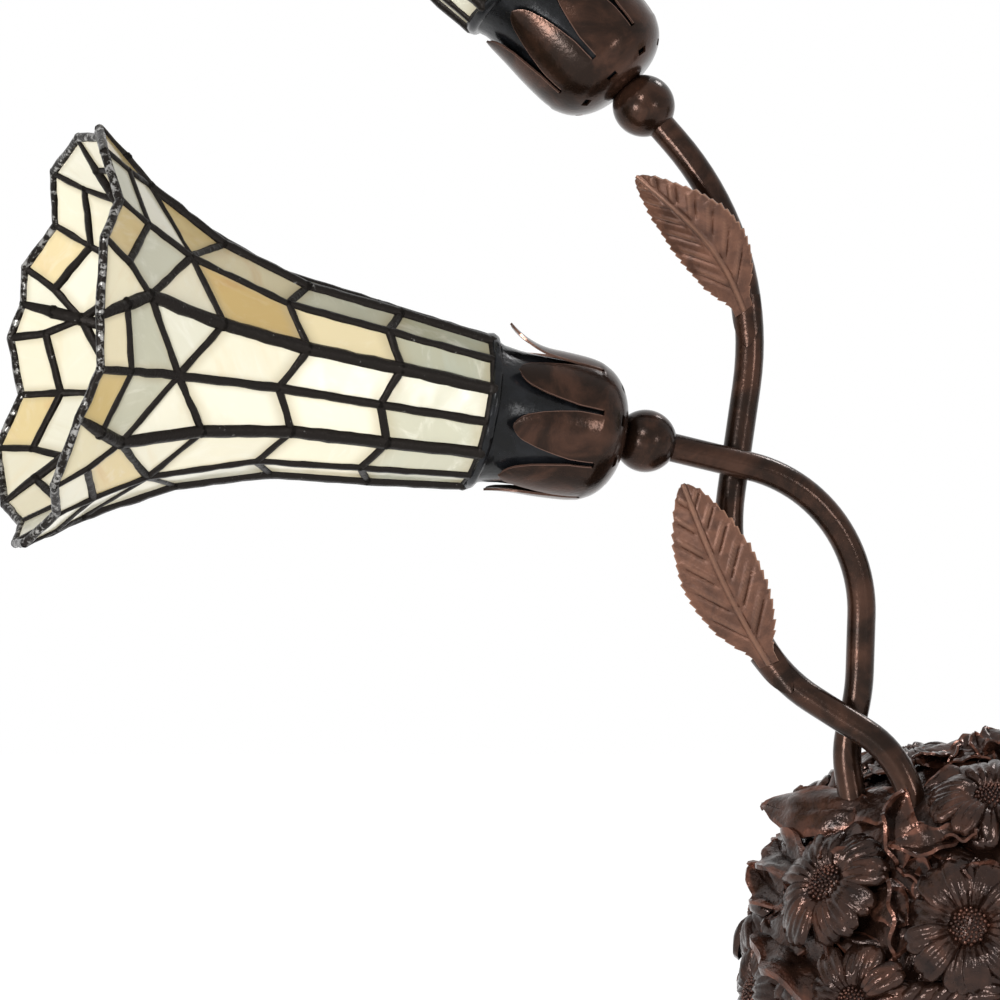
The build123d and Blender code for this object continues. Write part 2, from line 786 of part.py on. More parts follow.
with BuildPart() as felt_pad:
    with BuildSketch(Plane.XY):
        Circle(felt_r)
        with PolarLocations(foot_boss_ring_r, foot_screws, start_angle=foot_turn):
            Circle(screw_head_d / 2 + slip_gap, mode=Mode.SUBTRACT)
    extrude(amount=felt_h)
save("felt_pad", felt_pad.part)

with BuildPart() as wire_connectors:
    with BuildSketch(Plane.XY.offset(foot_z)):
        with Locations((-connector_d, 0), (connector_d, 0)):
            RegularPolygon(connector_d / 2, 8)
    extrude(amount=connector_h, taper=6)
save("wire_connectors", wire_connectors.part)
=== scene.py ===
import json
import math
import random

import bmesh
import bpy
import numpy as np
from mathutils import Matrix, Vector, noise


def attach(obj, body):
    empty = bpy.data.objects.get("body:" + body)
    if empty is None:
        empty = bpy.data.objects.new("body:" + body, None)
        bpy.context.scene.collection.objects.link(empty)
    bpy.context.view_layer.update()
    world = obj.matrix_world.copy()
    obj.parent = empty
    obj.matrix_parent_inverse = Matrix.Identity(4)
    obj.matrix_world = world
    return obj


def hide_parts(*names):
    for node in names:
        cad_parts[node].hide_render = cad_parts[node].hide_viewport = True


# Lily table lamp: leaded-glass lily shades on bent bronze stems that rise from a cast flower basket.
# Metres, +Z up, +X to the right and -Y towards the viewer. MM turns millimetres into metres.

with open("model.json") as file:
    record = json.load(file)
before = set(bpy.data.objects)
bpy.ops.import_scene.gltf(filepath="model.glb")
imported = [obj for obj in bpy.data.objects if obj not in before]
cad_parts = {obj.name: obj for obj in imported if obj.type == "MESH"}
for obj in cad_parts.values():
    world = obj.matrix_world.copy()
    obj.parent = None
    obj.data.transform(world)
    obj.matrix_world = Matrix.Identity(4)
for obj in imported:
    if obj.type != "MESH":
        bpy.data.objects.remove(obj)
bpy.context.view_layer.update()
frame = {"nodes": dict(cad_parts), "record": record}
MM = 0.001


# Camera and light
def aim(obj, place, target):
    obj.location = place
    obj.rotation_euler = (Vector(target) - Vector(place)).to_track_quat("-Z", "Y").to_euler()
    bpy.context.scene.collection.objects.link(obj)


view_target = Vector((-0.16667, 0.0, 0.25))
view_rise = math.radians(0.6)
view_distance = 5.0
view_width = 0.33333
lens = bpy.data.cameras.new("view")
lens.sensor_width = 36.0
lens.lens = lens.sensor_width * view_distance / view_width
lens.clip_end = 50.0
camera = bpy.data.objects.new("view", lens)
view_line = Vector((0, -math.cos(view_rise), math.sin(view_rise)))
aim(camera, view_target + view_distance * view_line, view_target)
bpy.context.scene.camera = camera
bpy.context.scene.view_settings.view_transform = "Standard"


def softbox(name, place, target, size, power):
    light = bpy.data.lights.new(name, "AREA")
    light.shape = "RECTANGLE"
    light.size, light.size_y = size
    light.energy = power
    aim(bpy.data.objects.new(name, light), place, target)


softbox("key", (-1.1, -1.7, 0.12), (-0.1, 0, 0.25), (0.5, 0.6), 27)
softbox("fill", (1.3, -1.6, 0.5), (0, 0, 0.2), (0.3, 0.4), 6)
softbox("glint", (-0.4, -1.5, 1.2), (0, 0, 0.15), (0.3, 0.4), 11)
softbox("top", (0.7, 0.9, 1.6), (-0.1, 0, 0.25), (0.3, 0.3), 6)


# Nodes written as expressions
class Wire:
    """One output socket, with arithmetic on its number."""

    def __init__(self, net, socket):
        self.net = net
        self.socket = socket

    def math(self, operation, *values):
        return self.net.node("ShaderNodeMath", {"operation": operation}, dict(enumerate(values)))

    def __add__(self, other):
        return self.math("ADD", self, other)

    def __sub__(self, other):
        return self.math("SUBTRACT", self, other)

    def __rsub__(self, other):
        return self.math("SUBTRACT", other, self)

    def __mul__(self, other):
        return self.math("MULTIPLY", self, other)

    def __truediv__(self, other):
        return self.math("DIVIDE", self, other)

    def __pow__(self, other):
        return self.math("POWER", self, other)

    __radd__ = __add__
    __rmul__ = __mul__

    def within(self, low, high):
        """0 below low and 1 above high, smooth between them."""
        sockets = {"Value": self, "From Min": low, "From Max": high}
        return self.net.node("ShaderNodeMapRange", {"interpolation_type": "SMOOTHSTEP"}, sockets)


class Net:
    """A node tree whose nodes come from one method."""

    def __init__(self, tree):
        self.tree = tree

    def node(self, kind, settings, sockets, output=0):
        made = self.tree.nodes.new(kind)
        stops = settings.pop("stops", None)
        for key, value in settings.items():
            setattr(made, key, value)
        if stops:
            for _ in stops[2:]:
                made.color_ramp.elements.new(0.5)
            for element, (place, colour) in zip(made.color_ramp.elements, stops):
                element.position = place
                element.color = (*colour, 1)
        for key, value in sockets.items():
            for part in value if isinstance(value, list) else [value]:
                if isinstance(part, Wire):
                    self.tree.links.new(part.socket, made.inputs[key])
                else:
                    made.inputs[key].default_value = part
        return Wire(self, made.outputs[output]) if made.outputs else made


class Finish(Net):
    """A material: patterns read object coordinates, in metres, or an attribute of the piece."""

    def __init__(self, name):
        self.material = bpy.data.materials.new(name)
        self.material.use_nodes = True
        super().__init__(self.material.node_tree)
        self.tree.nodes.clear()

    def place(self, stretch=(1, 1, 1), uv=False):
        coords = self.node("ShaderNodeTexCoord", {}, {}, "UV" if uv else "Object")
        return self.node("ShaderNodeMapping", {}, {"Vector": coords, "Scale": stretch})

    def cloud(self, size, detail=3.0, rough=0.55, bend=0.0, stretch=(1, 1, 1), uv=False):
        """Noise from 0 to 1 whose lumps are about size metres across."""
        sockets = {"Vector": self.place(stretch, uv), "Scale": 1 / size, "Detail": detail}
        sockets.update({"Roughness": rough, "Distortion": bend})
        return self.node("ShaderNodeTexNoise", {}, sockets)

    def read(self, name):
        return self.node("ShaderNodeAttribute", {"attribute_name": name}, {}, "Fac")

    def blend(self, share, first, second):
        first, second = [(*c, 1) if isinstance(c, tuple) else c for c in (first, second)]
        return self.node("ShaderNodeMix", {"data_type": "RGBA"}, {0: share, 6: first, 7: second}, 2)

    def ramp(self, share, stops):
        return self.node("ShaderNodeValToRGB", {"stops": stops}, {"Fac": share})

    def relief(self, height, depth, strength=1.0):
        return self.node("ShaderNodeBump", {}, {"Height": height, "Distance": depth, "Strength": strength})

    def done(self, color, roughness, metallic=0.0, relief=None, **extra):
        if isinstance(color, tuple):
            color = (*color, 1)
        sockets = {"Base Color": color, "Roughness": roughness, "Metallic": metallic}
        if relief:
            sockets["Normal"] = relief
        sockets.update({key.replace("_", " "): value for key, value in extra.items()})
        shader = self.node("ShaderNodeBsdfPrincipled", {}, sockets)
        self.node("ShaderNodeOutputMaterial", {}, {"Surface": shader})
        return self.material


# Finishes
def bronze_finish(name, dark, warm, gloss):
    """Dark mahogany bronze lacquer on metal, mottled as a hand-rubbed finish is."""
    f = Finish(name)
    mottle = f.cloud(0.016, 5.0, 0.62, 0.6)
    haze = f.cloud(0.05, 2.0)
    grit = f.cloud(0.0011, 2.0)
    color = f.blend(mottle.within(0.36, 0.68), dark, warm)
    bare = tuple(min(1.0, 3.5 * c + 0.05) for c in warm)
    # Paler along the petal cups' edges and tips: rubbed metal and a painted edge highlight.
    color = f.blend(f.read("worn").within(0.7, 1.0) * 0.6, color, bare)
    rough = gloss + 0.16 * haze - 0.05 * mottle
    return f.done(color, rough, 0.5, f.relief(grit + 1.2 * mottle, 0.00006), Specular_IOR_Level=0.2)


def cast_finish():
    """Glossy dark casting: black in the hollows, reddish brown where the lacquer is rubbed, which on the
    leaves' edges also paints an edge highlight.
    """
    f = Finish("cast bronze")
    mottle = f.cloud(0.012, 5.0, 0.6, 0.8)
    pits = f.cloud(0.0016, 3.0)
    hollow, face, raised = (0.012, 0.0055, 0.004), (0.036, 0.017, 0.0115), (0.088, 0.036, 0.022)
    color = f.ramp(mottle, [(0.3, hollow), (0.52, face), (0.75, raised)])
    rubbed = (f.read("rubbed") * f.cloud(0.006, 3.0)).within(0.2, 0.7)
    color = f.blend(rubbed * 0.7, color, (0.19, 0.072, 0.044))
    rough = 0.04 + 0.06 * f.cloud(0.03)
    return f.done(color, rough, 0.5, f.relief(pits + 1.5 * mottle, 0.00025), Specular_IOR_Level=0.34)


def leaf_finish():
    """Stamped leaf: copper brown, paler on the raised veins where rubbed, and along the cut teeth as
    rubbing and a painted edge highlight.
    """
    f = Finish("leaf bronze")
    mottle = f.cloud(0.009, 5.0, 0.65, 0.5)
    worn = f.read("worn")
    color = f.blend(mottle.within(0.3, 0.7), (0.062, 0.029, 0.019), (0.145, 0.066, 0.041))
    # Paler on the rubbed veins, and along the teeth as rubbing and a painted edge highlight.
    color = f.blend(worn.within(0.2, 1.0) * 0.7, color, (0.29, 0.155, 0.10))
    grain = f.relief(f.cloud(0.0012), 0.0001)
    return f.done(color, 0.30 + 0.15 * mottle, 0.3, grain, Specular_IOR_Level=0.25)


def collar_finish():
    f = Finish("collar bronze")
    mottle = f.cloud(0.012, 4.0, 0.6, 0.4)
    color = f.blend(mottle.within(0.35, 0.7), (0.004, 0.0042, 0.0046), (0.012, 0.0128, 0.015))
    grain = f.relief(f.cloud(0.002), 0.0001)
    return f.done(color, 0.14 + 0.16 * mottle, 0.2, grain, Specular_IOR_Level=0.2)


def solder_finish():
    """Patinated solder: near black with a few silvery glints, partly bare solder and partly painted
    highlights, and a hand-run surface.
    """
    f = Finish("solder")
    lumps = f.cloud(0.004, 3.0, 0.6)
    # Painted highlights: silver colour where the noise peaks, more on the lines of the mouth's rim.
    glint = (f.cloud(0.0026, 4.0, 0.7) + 0.16 * f.read("bare")).within(0.66, 0.78)
    color = f.blend(glint * 0.8, (0.010, 0.0075, 0.006), (0.42, 0.41, 0.39))
    return f.done(color, 0.42 - 0.2 * glint, 0.5, f.relief(lumps, 0.0007), Specular_IOR_Level=0.2)


def glass_finish():
    """Milky opal glass with drawn streaks; tone sorts the panes; painted shade darkens their rims and a
    faint emission paints light through them.
    """
    f = Finish("opal glass")
    tone = f.read("tone")
    drawn = f.cloud(0.020, 4.0, 0.55, 1.4, (1.0, 0.35, 1.0), uv=True)
    wisp = f.cloud(0.012, 5.0, 0.6, 2.2, (1.0, 0.45, 1.0), uv=True)
    milk = f.ramp(tone, [(0.0, (0.44, 0.43, 0.31)), (0.3, (0.77, 0.74, 0.60)), (0.6, (0.76, 0.69, 0.49)),
                         (0.8, (0.68, 0.54, 0.27)), (1.0, (0.48, 0.32, 0.10))])
    streak = f.ramp(tone, [(0.0, (0.46, 0.48, 0.38)), (0.45, (0.76, 0.66, 0.45)), (0.8, (0.60, 0.39, 0.17)),
                           (1.0, (0.42, 0.22, 0.07))])
    color = f.blend(drawn.within(0.5, 0.75) * 0.7, milk, streak)
    color = f.blend(wisp.within(0.5, 0.75) * (0.5 - 0.4 * tone), color, (0.82, 0.80, 0.70))
    # Painted shade: each pane darkens towards its rim, where the solder shades it.
    color = f.blend(f.read("edge").within(0.0, 1.1) * 0.62, color, (0.40, 0.33, 0.19))
    waves = f.cloud(0.02, 2.0, uv=True)
    # Painted glow: a faint emission stands in for light shining through the glass.
    return f.done(color, 0.12 + 0.12 * wisp, 0.0, f.relief(waves, 0.0005), Emission_Color=color,
                  Emission_Strength=0.07, Coat_Weight=0.15)


def bulb_finish():
    f = Finish("bulb glass")
    frost = f.cloud(0.003)
    color = f.blend(frost, (0.86, 0.86, 0.83), (0.93, 0.93, 0.91))
    # Painted glow: the bulb is no light source here, its glass only gives off a faint emission.
    glow = {"Emission_Color": color, "Emission_Strength": 0.15}
    return f.done(color, 0.3 + 0.15 * frost, 0.0, f.relief(frost, 0.00005), **glow)


def metal_finish(name, color, gloss):
    f = Finish(name)
    brushed = f.cloud(0.0015, 4.0, 0.6, 0.0, (1, 1, 0.12))
    stain = f.cloud(0.01, 4.0)
    shade = f.blend(stain * 0.5, color, tuple(0.6 * c for c in color))
    return f.done(shade, gloss + 0.15 * brushed, 1.0, f.relief(brushed, 0.00004))


def plastic_finish(name, color, gloss):
    f = Finish(name)
    grain = f.cloud(0.0012, 3.0)
    dust = f.cloud(0.02, 4.0)
    shade = f.blend(dust * 0.4, color, tuple(min(1.0, 1.7 * c + 0.01) for c in color))
    return f.done(shade, gloss + 0.12 * dust, 0.0, f.relief(grain, 0.00008))


def felt_finish():
    f = Finish("felt")
    fibre = f.cloud(0.0008, 6.0, 0.75, 2.0)
    shade = f.blend(fibre.within(0.3, 0.7), (0.012, 0.035, 0.02), (0.035, 0.08, 0.05))
    return f.done(shade, 0.95, 0.0, f.relief(fibre, 0.0004))


finishes = {
    "bronze": bronze_finish("stem bronze", (0.016, 0.0085, 0.0055), (0.058, 0.027, 0.017), 0.13),
    "cast_bronze": cast_finish(),
    "leaf_bronze": leaf_finish(),
    "collar_bronze": collar_finish(),
    "solder": solder_finish(),
    "leaded_glass": glass_finish(),
    "bulb_glass": bulb_finish(),
    "brass": metal_finish("brass", (0.72, 0.50, 0.20), 0.22),
    "steel": metal_finish("steel", (0.55, 0.55, 0.55), 0.28),
    "socket_black": plastic_finish("socket plastic", (0.015, 0.015, 0.016), 0.35),
    "connector_grey": plastic_finish("connector plastic", (0.25, 0.25, 0.26), 0.4),
    "felt": felt_finish(),
}

slot_of = {part["node"]: part["material_slot"] for part in frame["record"]["subparts"]}
for node_name, node_object in frame["nodes"].items():
    if not node_object.material_slots:
        node_object.data.materials.append(None)
    for material_slot in node_object.material_slots:
        material_slot.material = finishes[slot_of[node_name]]


# Meshes and recipes
def placed(name, mesh):
    obj = bpy.data.objects.new(name, mesh)
    bpy.context.scene.collection.objects.link(obj)
    return obj


def new_mesh(name, points, faces=(), edges=()):
    """A mesh object from points in metres."""
    mesh = bpy.data.meshes.new(name)
    mesh.from_pydata([tuple(p) for p in points], list(edges), list(faces))
    return placed(name, mesh)


def polar(radius, angle, height):
    """Point at an angle, in radians, round the upright axis."""
    return Vector((radius * math.cos(angle), radius * math.sin(angle), height))


def grid_faces(rows, across):
    """Faces of a sheet whose rows each have across points."""
    return [(i * across + j, i * across + j + 1, (i + 1) * across + j + 1, (i + 1) * across + j)
            for i in range(rows) for j in range(across - 1)]


def mark(obj, name, values, domain="POINT", kind="FLOAT"):
    """Stores one value for each point or face of a mesh."""
    layer = obj.data.attributes.new(name, kind, domain)
    field = "value" if kind == "FLOAT" else "vector"
    layer.data.foreach_set(field, np.asarray(values, dtype=float).ravel())


def outward(obj, merge=1e-6, smooth=None):
    """Merges doubles and turns the faces of closed shells outwards; smooth is an angle in degrees."""
    shell = bmesh.new()
    shell.from_mesh(obj.data)
    if merge:
        bmesh.ops.remove_doubles(shell, verts=shell.verts, dist=merge)
    bmesh.ops.recalc_face_normals(shell, faces=shell.faces)
    if smooth is not None:
        for face in shell.faces:
            face.smooth = True
        for edge in shell.edges:
            edge.smooth = len(edge.link_faces) == 2 and edge.calc_face_angle(0) < math.radians(smooth)
    shell.to_mesh(obj.data)
    shell.free()


def finish_piece(obj, body, slot, *nodes):
    """Rides a finished piece on its body, with its finish and the nodes that it stands for."""
    if not obj.data.materials:
        obj.data.materials.append(finishes[slot])
    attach(obj, body)
    if nodes:
        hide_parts(*nodes)


def plain(obj):
    """Applies an object's modifiers."""
    bpy.context.view_layer.update()
    mesh = bpy.data.meshes.new_from_object(obj.evaluated_get(bpy.context.evaluated_depsgraph_get()))
    obj.modifiers.clear()
    obj.data = mesh
    return obj


def thicken(obj, wall, offset=-1):
    """Gives a sheet its wall, in millimetres."""
    sheet = obj.modifiers.new("wall", "SOLIDIFY")
    sheet.thickness = wall * MM
    sheet.offset = offset
    return plain(obj)


class Recipe(Net):
    """A Geometry Nodes tree with named inputs, run on an object and kept as plain mesh."""

    def __init__(self, name, **inputs):
        super().__init__(bpy.data.node_groups.new(name, "GeometryNodeTree"))
        sockets = self.tree.interface
        sockets.new_socket("Geometry", in_out="INPUT", socket_type="NodeSocketGeometry")
        sockets.new_socket("Geometry", in_out="OUTPUT", socket_type="NodeSocketGeometry")
        for label, kind in inputs.items():
            sockets.new_socket(label, in_out="INPUT", socket_type="NodeSocket" + kind)
        start = self.tree.nodes.new("NodeGroupInput")
        self.given = {socket.name: Wire(self, socket) for socket in start.outputs if socket.name}

    def read(self, name, kind="FLOAT"):
        return self.node("GeometryNodeInputNamedAttribute", {"data_type": kind}, {"Name": name})

    def ends(self, shape):
        """Realizes the shape's copies and sets its material."""
        shape = self.node("GeometryNodeRealizeInstances", {}, {"Geometry": shape})
        sockets = {"Geometry": shape, "Material": self.given["finish"]}
        shape = self.node("GeometryNodeSetMaterial", {}, sockets)
        end = self.tree.nodes.new("NodeGroupOutput")
        self.tree.links.new(shape.socket, end.inputs[0])
        return self

    def run(self, obj, **values):
        modifier = obj.modifiers.new("recipe", "NODES")
        modifier.node_group = self.tree
        for item in self.tree.interface.items_tree:
            if item.in_out == "INPUT" and item.name in values:
                modifier[item.identifier] = values[item.name]
        return plain(obj)


def bead_recipe():
    """Round beads along every line of a wire mesh, with a lump on each of its points."""
    r = Recipe("beads", radius="Float", step="Float", waver="Float", sides="Int", lumps="Float",
               finish="Material")
    thick = r.read("thick")
    line = r.node("GeometryNodeMeshToCurve", {}, {"Mesh": r.given["Geometry"]})
    sockets = {"Curve": line, "Length": r.given["step"]}
    line = r.node("GeometryNodeResampleCurve", {"mode": "LENGTH"}, sockets)
    drift = r.node("ShaderNodeTexNoise", {}, {"Scale": 160.0, "Detail": 1.0}, 1)
    drift = r.node("ShaderNodeVectorMath", {"operation": "SUBTRACT"}, {0: drift, 1: (0.5, 0.5, 0.5)})
    drift = r.node("ShaderNodeVectorMath", {"operation": "SCALE"}, {0: drift, "Scale": r.given["waver"]})
    line = r.node("GeometryNodeSetPosition", {}, {"Geometry": line, "Offset": drift})
    ring = r.node("GeometryNodeCurvePrimitiveCircle", {}, {"Resolution": r.given["sides"], "Radius": 1.0})
    width = thick * r.given["radius"]
    uneven = r.node("ShaderNodeTexNoise", {}, {"Scale": 110.0, "Detail": 2.0})
    uneven_width = width * (0.78 + 0.44 * uneven)
    sockets = {"Curve": line, "Profile Curve": ring, "Scale": uneven_width, "Fill Caps": True}
    bead = r.node("GeometryNodeCurveToMesh", {}, sockets)
    ball = r.node("GeometryNodeMeshIcoSphere", {}, {"Radius": 1.0, "Subdivisions": 2})
    lumpy = r.given["lumps"].math("GREATER_THAN", r.given["lumps"], 0.0)
    sockets = {"Points": r.given["Geometry"], "Selection": lumpy, "Instance": ball}
    sockets["Scale"] = width * r.given["lumps"]
    lump = r.node("GeometryNodeInstanceOnPoints", {}, sockets)
    both = r.node("GeometryNodeJoinGeometry", {}, {"Geometry": [bead, lump]})
    return r.ends(r.node("GeometryNodeSetShadeSmooth", {}, {"Geometry": both, "Shade Smooth": True}))


def sheet_recipe():
    """Every island of the mesh made a pane of its own, with a thickness."""
    r = Recipe("panes", thickness="Float", finish="Material")
    panes = r.given["Geometry"]
    sockets = {"Mesh": panes, "Offset Scale": r.given["thickness"], "Individual": False}
    front = r.node("GeometryNodeExtrudeMesh", {}, sockets)
    back = r.node("GeometryNodeFlipFaces", {}, {"Mesh": panes})
    return r.ends(r.node("GeometryNodeJoinGeometry", {}, {"Geometry": [front, back]}))


def copies_recipe():
    """One copy of a shape on every point, turned by turn and sized by grow."""
    r = Recipe("copies", shape="Object", finish="Material")
    shape = r.node("GeometryNodeObjectInfo", {}, {"Object": r.given["shape"]}, "Geometry")
    turn = r.node("FunctionNodeEulerToRotation", {}, {"Euler": r.read("turn", "FLOAT_VECTOR")})
    sockets = {"Points": r.given["Geometry"], "Instance": shape, "Rotation": turn, "Scale": r.read("grow")}
    return r.ends(r.node("GeometryNodeInstanceOnPoints", {}, sockets))


beads = bead_recipe()
panes = sheet_recipe()
copies = copies_recipe()


def set_out(name, shape, frames, sizes, finish):
    """Copies of a shape object at 4 by 4 frames, as one plain mesh."""
    seats = new_mesh(name, [f.translation for f in frames])
    mark(seats, "turn", [tuple(f.to_euler()) for f in frames], kind="FLOAT_VECTOR")
    mark(seats, "grow", sizes)
    return copies.run(seats, shape=shape, finish=finish)


def hidden(obj):
    """A shape that only its copies show."""
    bpy.context.scene.collection.objects.unlink(obj)
    return obj


# Frames of the three lights
def heading(rise, swing):
    flat = math.cos(math.radians(swing))
    rise = math.radians(rise)
    return Vector((-flat * math.cos(rise), -math.sin(math.radians(swing)), flat * math.sin(rise)))


ball_to_neck = 58.8


def neck_frame(ball, axis, seam_turn):
    """Frame at a shade's neck: Z runs out of its mouth and X points at a heavy seam."""
    facing = Vector((0, -1, 0))
    facing = (facing - axis * facing.dot(axis)).normalized()
    across = axis.cross(facing)
    origin = (Vector(ball) + axis * ball_to_neck) * MM
    turn = Matrix((facing, across, axis)).transposed().to_4x4()
    return Matrix.Translation(origin) @ turn @ Matrix.Rotation(math.radians(seam_turn), 4, "Z")


axis_a = heading(10.2, 12.15)
lights = {
    "a": neck_frame((-118.7, -50.0, 270.0), axis_a, 19.0),
    "b": neck_frame((-119.0, -22.0, 381.0), heading(47.5, -6.0), 8.0),
    "c": neck_frame((118.7, 50.0, 270.0), Vector((-axis_a.x, -axis_a.y, axis_a.z)), 19.0),
}


# Lily shades
petal_count = 7
petal_pitch = 360 / petal_count
heavy_rows = [0, 32, 64.6, 95.5, 124]
light_rows = [0, 37.4, 72.6, 109, 126.5, 138]
profile_s = [0, 34.8, 43, 66.5, 77.7, 91, 102, 113, 121.7, 130, 140, 145]
profile_r = [24.3, 28.6, 29.6, 31.8, 34.7, 39.3, 43.2, 48.6, 54.4, 60.6, 68.3, 72.0]
fingered = [True, False, True, False, False, True, False]
pane_thickness = 1.2
line_radius = 1.6
heavy_line = 1.5


def on_shade(angle, station):
    """Point on a shade's wall, in its own frame."""
    radius = np.interp(station, profile_s, profile_r)
    return polar(radius, math.radians(angle), station) * MM


def shade_cells():
    """The panes as rings of (angle, station), and the heavy seams' points."""
    cells = []
    panels = []
    seams = []
    for k in range(petal_count):
        left, right = fingered[k - 1], fingered[k]
        lean = 0.45 * (petal_pitch / 2) * ((1 if right else 0) - (1 if left else 0))
        at = -petal_pitch * k
        seam = [(at, s) for s in heavy_rows] + [(at - lean / 2, 132.5), (at - lean, 141.8)]
        seams.append(seam)
    for k in range(petal_count):
        middle = -petal_pitch * (k + 0.5)
        spine = [(middle, s) for s in light_rows]
        for side, seam in ((1, seams[k]), (-1, seams[(k + 1) % petal_count])):
            at = middle + side * petal_pitch / 2
            edge = [(at + (a - seam[0][0]), s) for a, s in seam]
            for row in range(3):
                cells.append([edge[row], edge[row + 1], spine[row + 1], spine[row]])
            if fingered[k]:
                cells.append([edge[3], edge[4], spine[3]])
                cells.append([edge[4], edge[5], spine[4], spine[3]])
                cells.append([edge[5], edge[6], spine[5], spine[4]])
            else:
                inner = (at + (middle - at) * 0.27, 133.6)
                tip = (at + (middle - at) * 0.38, 143.6)
                cells.append([edge[3], edge[4], spine[3]])
                cells.append([spine[3], edge[4], inner, spine[4]])
                cells.append([spine[4], inner, tip, spine[5]])
                cells.append([inner, edge[4], edge[5], edge[6], tip])
        panels += [k] * (len(cells) - len(panels))
    return cells, panels, seams


# Panes of light a as the photograph has them: panel and number
amber_panes = {(6, 9): 0.97, (0, 11): 0.88, (6, 12): 0.86, (6, 6): 0.84, (3, 5): 0.8, (1, 4): 0.8,
               (4, 5): 0.76, (6, 3): 0.86}
tan_panes = {(6, 8): 0.72, (6, 2): 0.66, (0, 5): 0.66, (6, 13): 0.6, (1, 6): 0.62, (2, 4): 0.66,
             (6, 10): 0.5, (2, 11): 0.6}
grey_panes = {(6, 7): 0.0, (6, 0): 0.0, (6, 1): 0.08, (0, 4): 0.06, (0, 10): 0.1, (0, 0): 0.16,
              (6, 11): 0.1, (6, 5): 0.12}
seen_panes = {**amber_panes, **tan_panes, **grey_panes}


def pane_tones(cells, letter):
    """A tone for each pane: mostly white and cream, some amber, greyer near the neck."""
    dice = random.Random(7 + ord(letter))
    tones = []
    numbers = {}
    for panel, cell in cells:
        number = numbers[panel] = numbers.get(panel, -1) + 1
        station = sum(s for a, s in cell) / len(cell)
        tone = dice.uniform(0.22, 0.5)
        if dice.random() < 0.16:
            tone = dice.uniform(0.62, 0.9)
        if station < 40 and dice.random() < 0.4:
            tone = dice.uniform(0.0, 0.2)
        if letter == "a":
            tone = seen_panes.get((panel, number), min(tone, 0.45))
        tones.append(tone)
    return tones


def pane_mesh(name, place, cells, tones, seed):
    """The panes as separate flat islands whose rims carry the attribute edge, which the glass finish turns
    into painted shade.
    """
    dice = random.Random(seed)
    panel = bmesh.new()
    drawn = panel.loops.layers.uv.new("drawn")
    tone_layer = panel.faces.layers.float.new("tone")
    rim_shade_layer = panel.verts.layers.float.new("edge")
    for cell, tone in zip(cells, tones):
        corners = [on_shade(a, s) for a, s in cell]
        middle = sum(corners, Vector()) / len(corners)
        normal = (corners[1] - corners[0]).cross(corners[-1] - corners[0]).normalized()
        if normal.dot(Vector((middle.x, middle.y, 0))) < 0:
            corners.reverse()
            normal.negate()
        side = (corners[1] - corners[0]).normalized()
        up = normal.cross(side)
        turn = Matrix.Rotation(dice.uniform(0, math.tau), 2)
        shift = Vector((dice.uniform(0, 4), dice.uniform(0, 4)))
        rim = [c + (middle - c).normalized() * 0.4 * MM for c in corners]
        core = [c.lerp(middle, 0.4) for c in rim]
        flat_at, rings = {}, []
        # edge is 1 on a pane's rim and 0 on its core, so the painted shade fades inwards.
        for ring, edge in ((rim, 1.0), (core, 0.0)):
            rings.append([panel.verts.new(place @ (c - normal * pane_thickness * MM / 2)) for c in ring])
            for vert, c in zip(rings[-1], ring):
                vert[rim_shade_layer] = edge
                flat = Vector(((c - middle).dot(side), (c - middle).dot(up)))
                flat.rotate(turn)
                flat_at[vert] = flat + shift
        outer, inner = rings
        count = len(outer)
        faces = [(outer[i], outer[(i + 1) % count], inner[(i + 1) % count], inner[i]) for i in range(count)]
        for corners_of in faces + [inner]:
            face = panel.faces.new(corners_of)
            face[tone_layer] = tone
            for loop in face.loops:
                loop[drawn].uv = flat_at[loop.vert]
    mesh = bpy.data.meshes.new(name)
    panel.to_mesh(mesh)
    panel.free()
    return placed(name, mesh)


def corner_key(angle, station):
    """One name for a corner, whichever turn its angle is on."""
    return round(angle % 360, 2) % 360, station


def build_shade(mark_letter, place):
    cells, panels, seams = shade_cells()
    tones = pane_tones(zip(panels, cells), mark_letter)
    glass = pane_mesh(f"shade_panes_{mark_letter}", place, cells, tones, 40 + ord(mark_letter))
    panes.run(glass, thickness=pane_thickness * MM, finish=finishes["leaded_glass"])
    outward(glass, 0, smooth=35)
    finish_piece(glass, f"shade_{mark_letter}", "leaded_glass", f"shade_glass_{mark_letter}")

    heavy = {corner_key(a, s) for seam in seams for a, s in seam}
    seen, ends, pairs, widths, bare = set(), [], [], [], []
    for cell in cells:
        for first, second in zip(cell, cell[1:] + cell[:1]):
            pair = frozenset((corner_key(*first), corner_key(*second)))
            if pair in seen or len(pair) < 2:
                continue
            seen.add(pair)
            width = heavy_line if all(p in heavy for p in pair) else 1.0
            at_rim = all(p[1] > 136 for p in pair)
            pairs.append((len(ends), len(ends) + 1))
            ends += [on_shade(*first), on_shade(*second)]
            widths += [min(width, 0.95) if point[1] > 136 else width for point in (first, second)]
            # Lines on the mouth's rim get more of the solder finish's painted glints.
            bare += [1.0 if at_rim else 0.0] * 2
    lattice = new_mesh(f"shade_solder_{mark_letter}", [place @ p for p in ends], edges=pairs)
    mark(lattice, "thick", widths)
    mark(lattice, "bare", bare)
    beads.run(lattice, radius=line_radius * MM, step=3 * MM, waver=0.9 * MM, sides=8, lumps=1.06,
              finish=finishes["solder"])
    outward(lattice, 0)
    finish_piece(lattice, f"shade_{mark_letter}", "solder", f"shade_came_{mark_letter}")


for letter, place in lights.items():
    build_shade(letter, place)


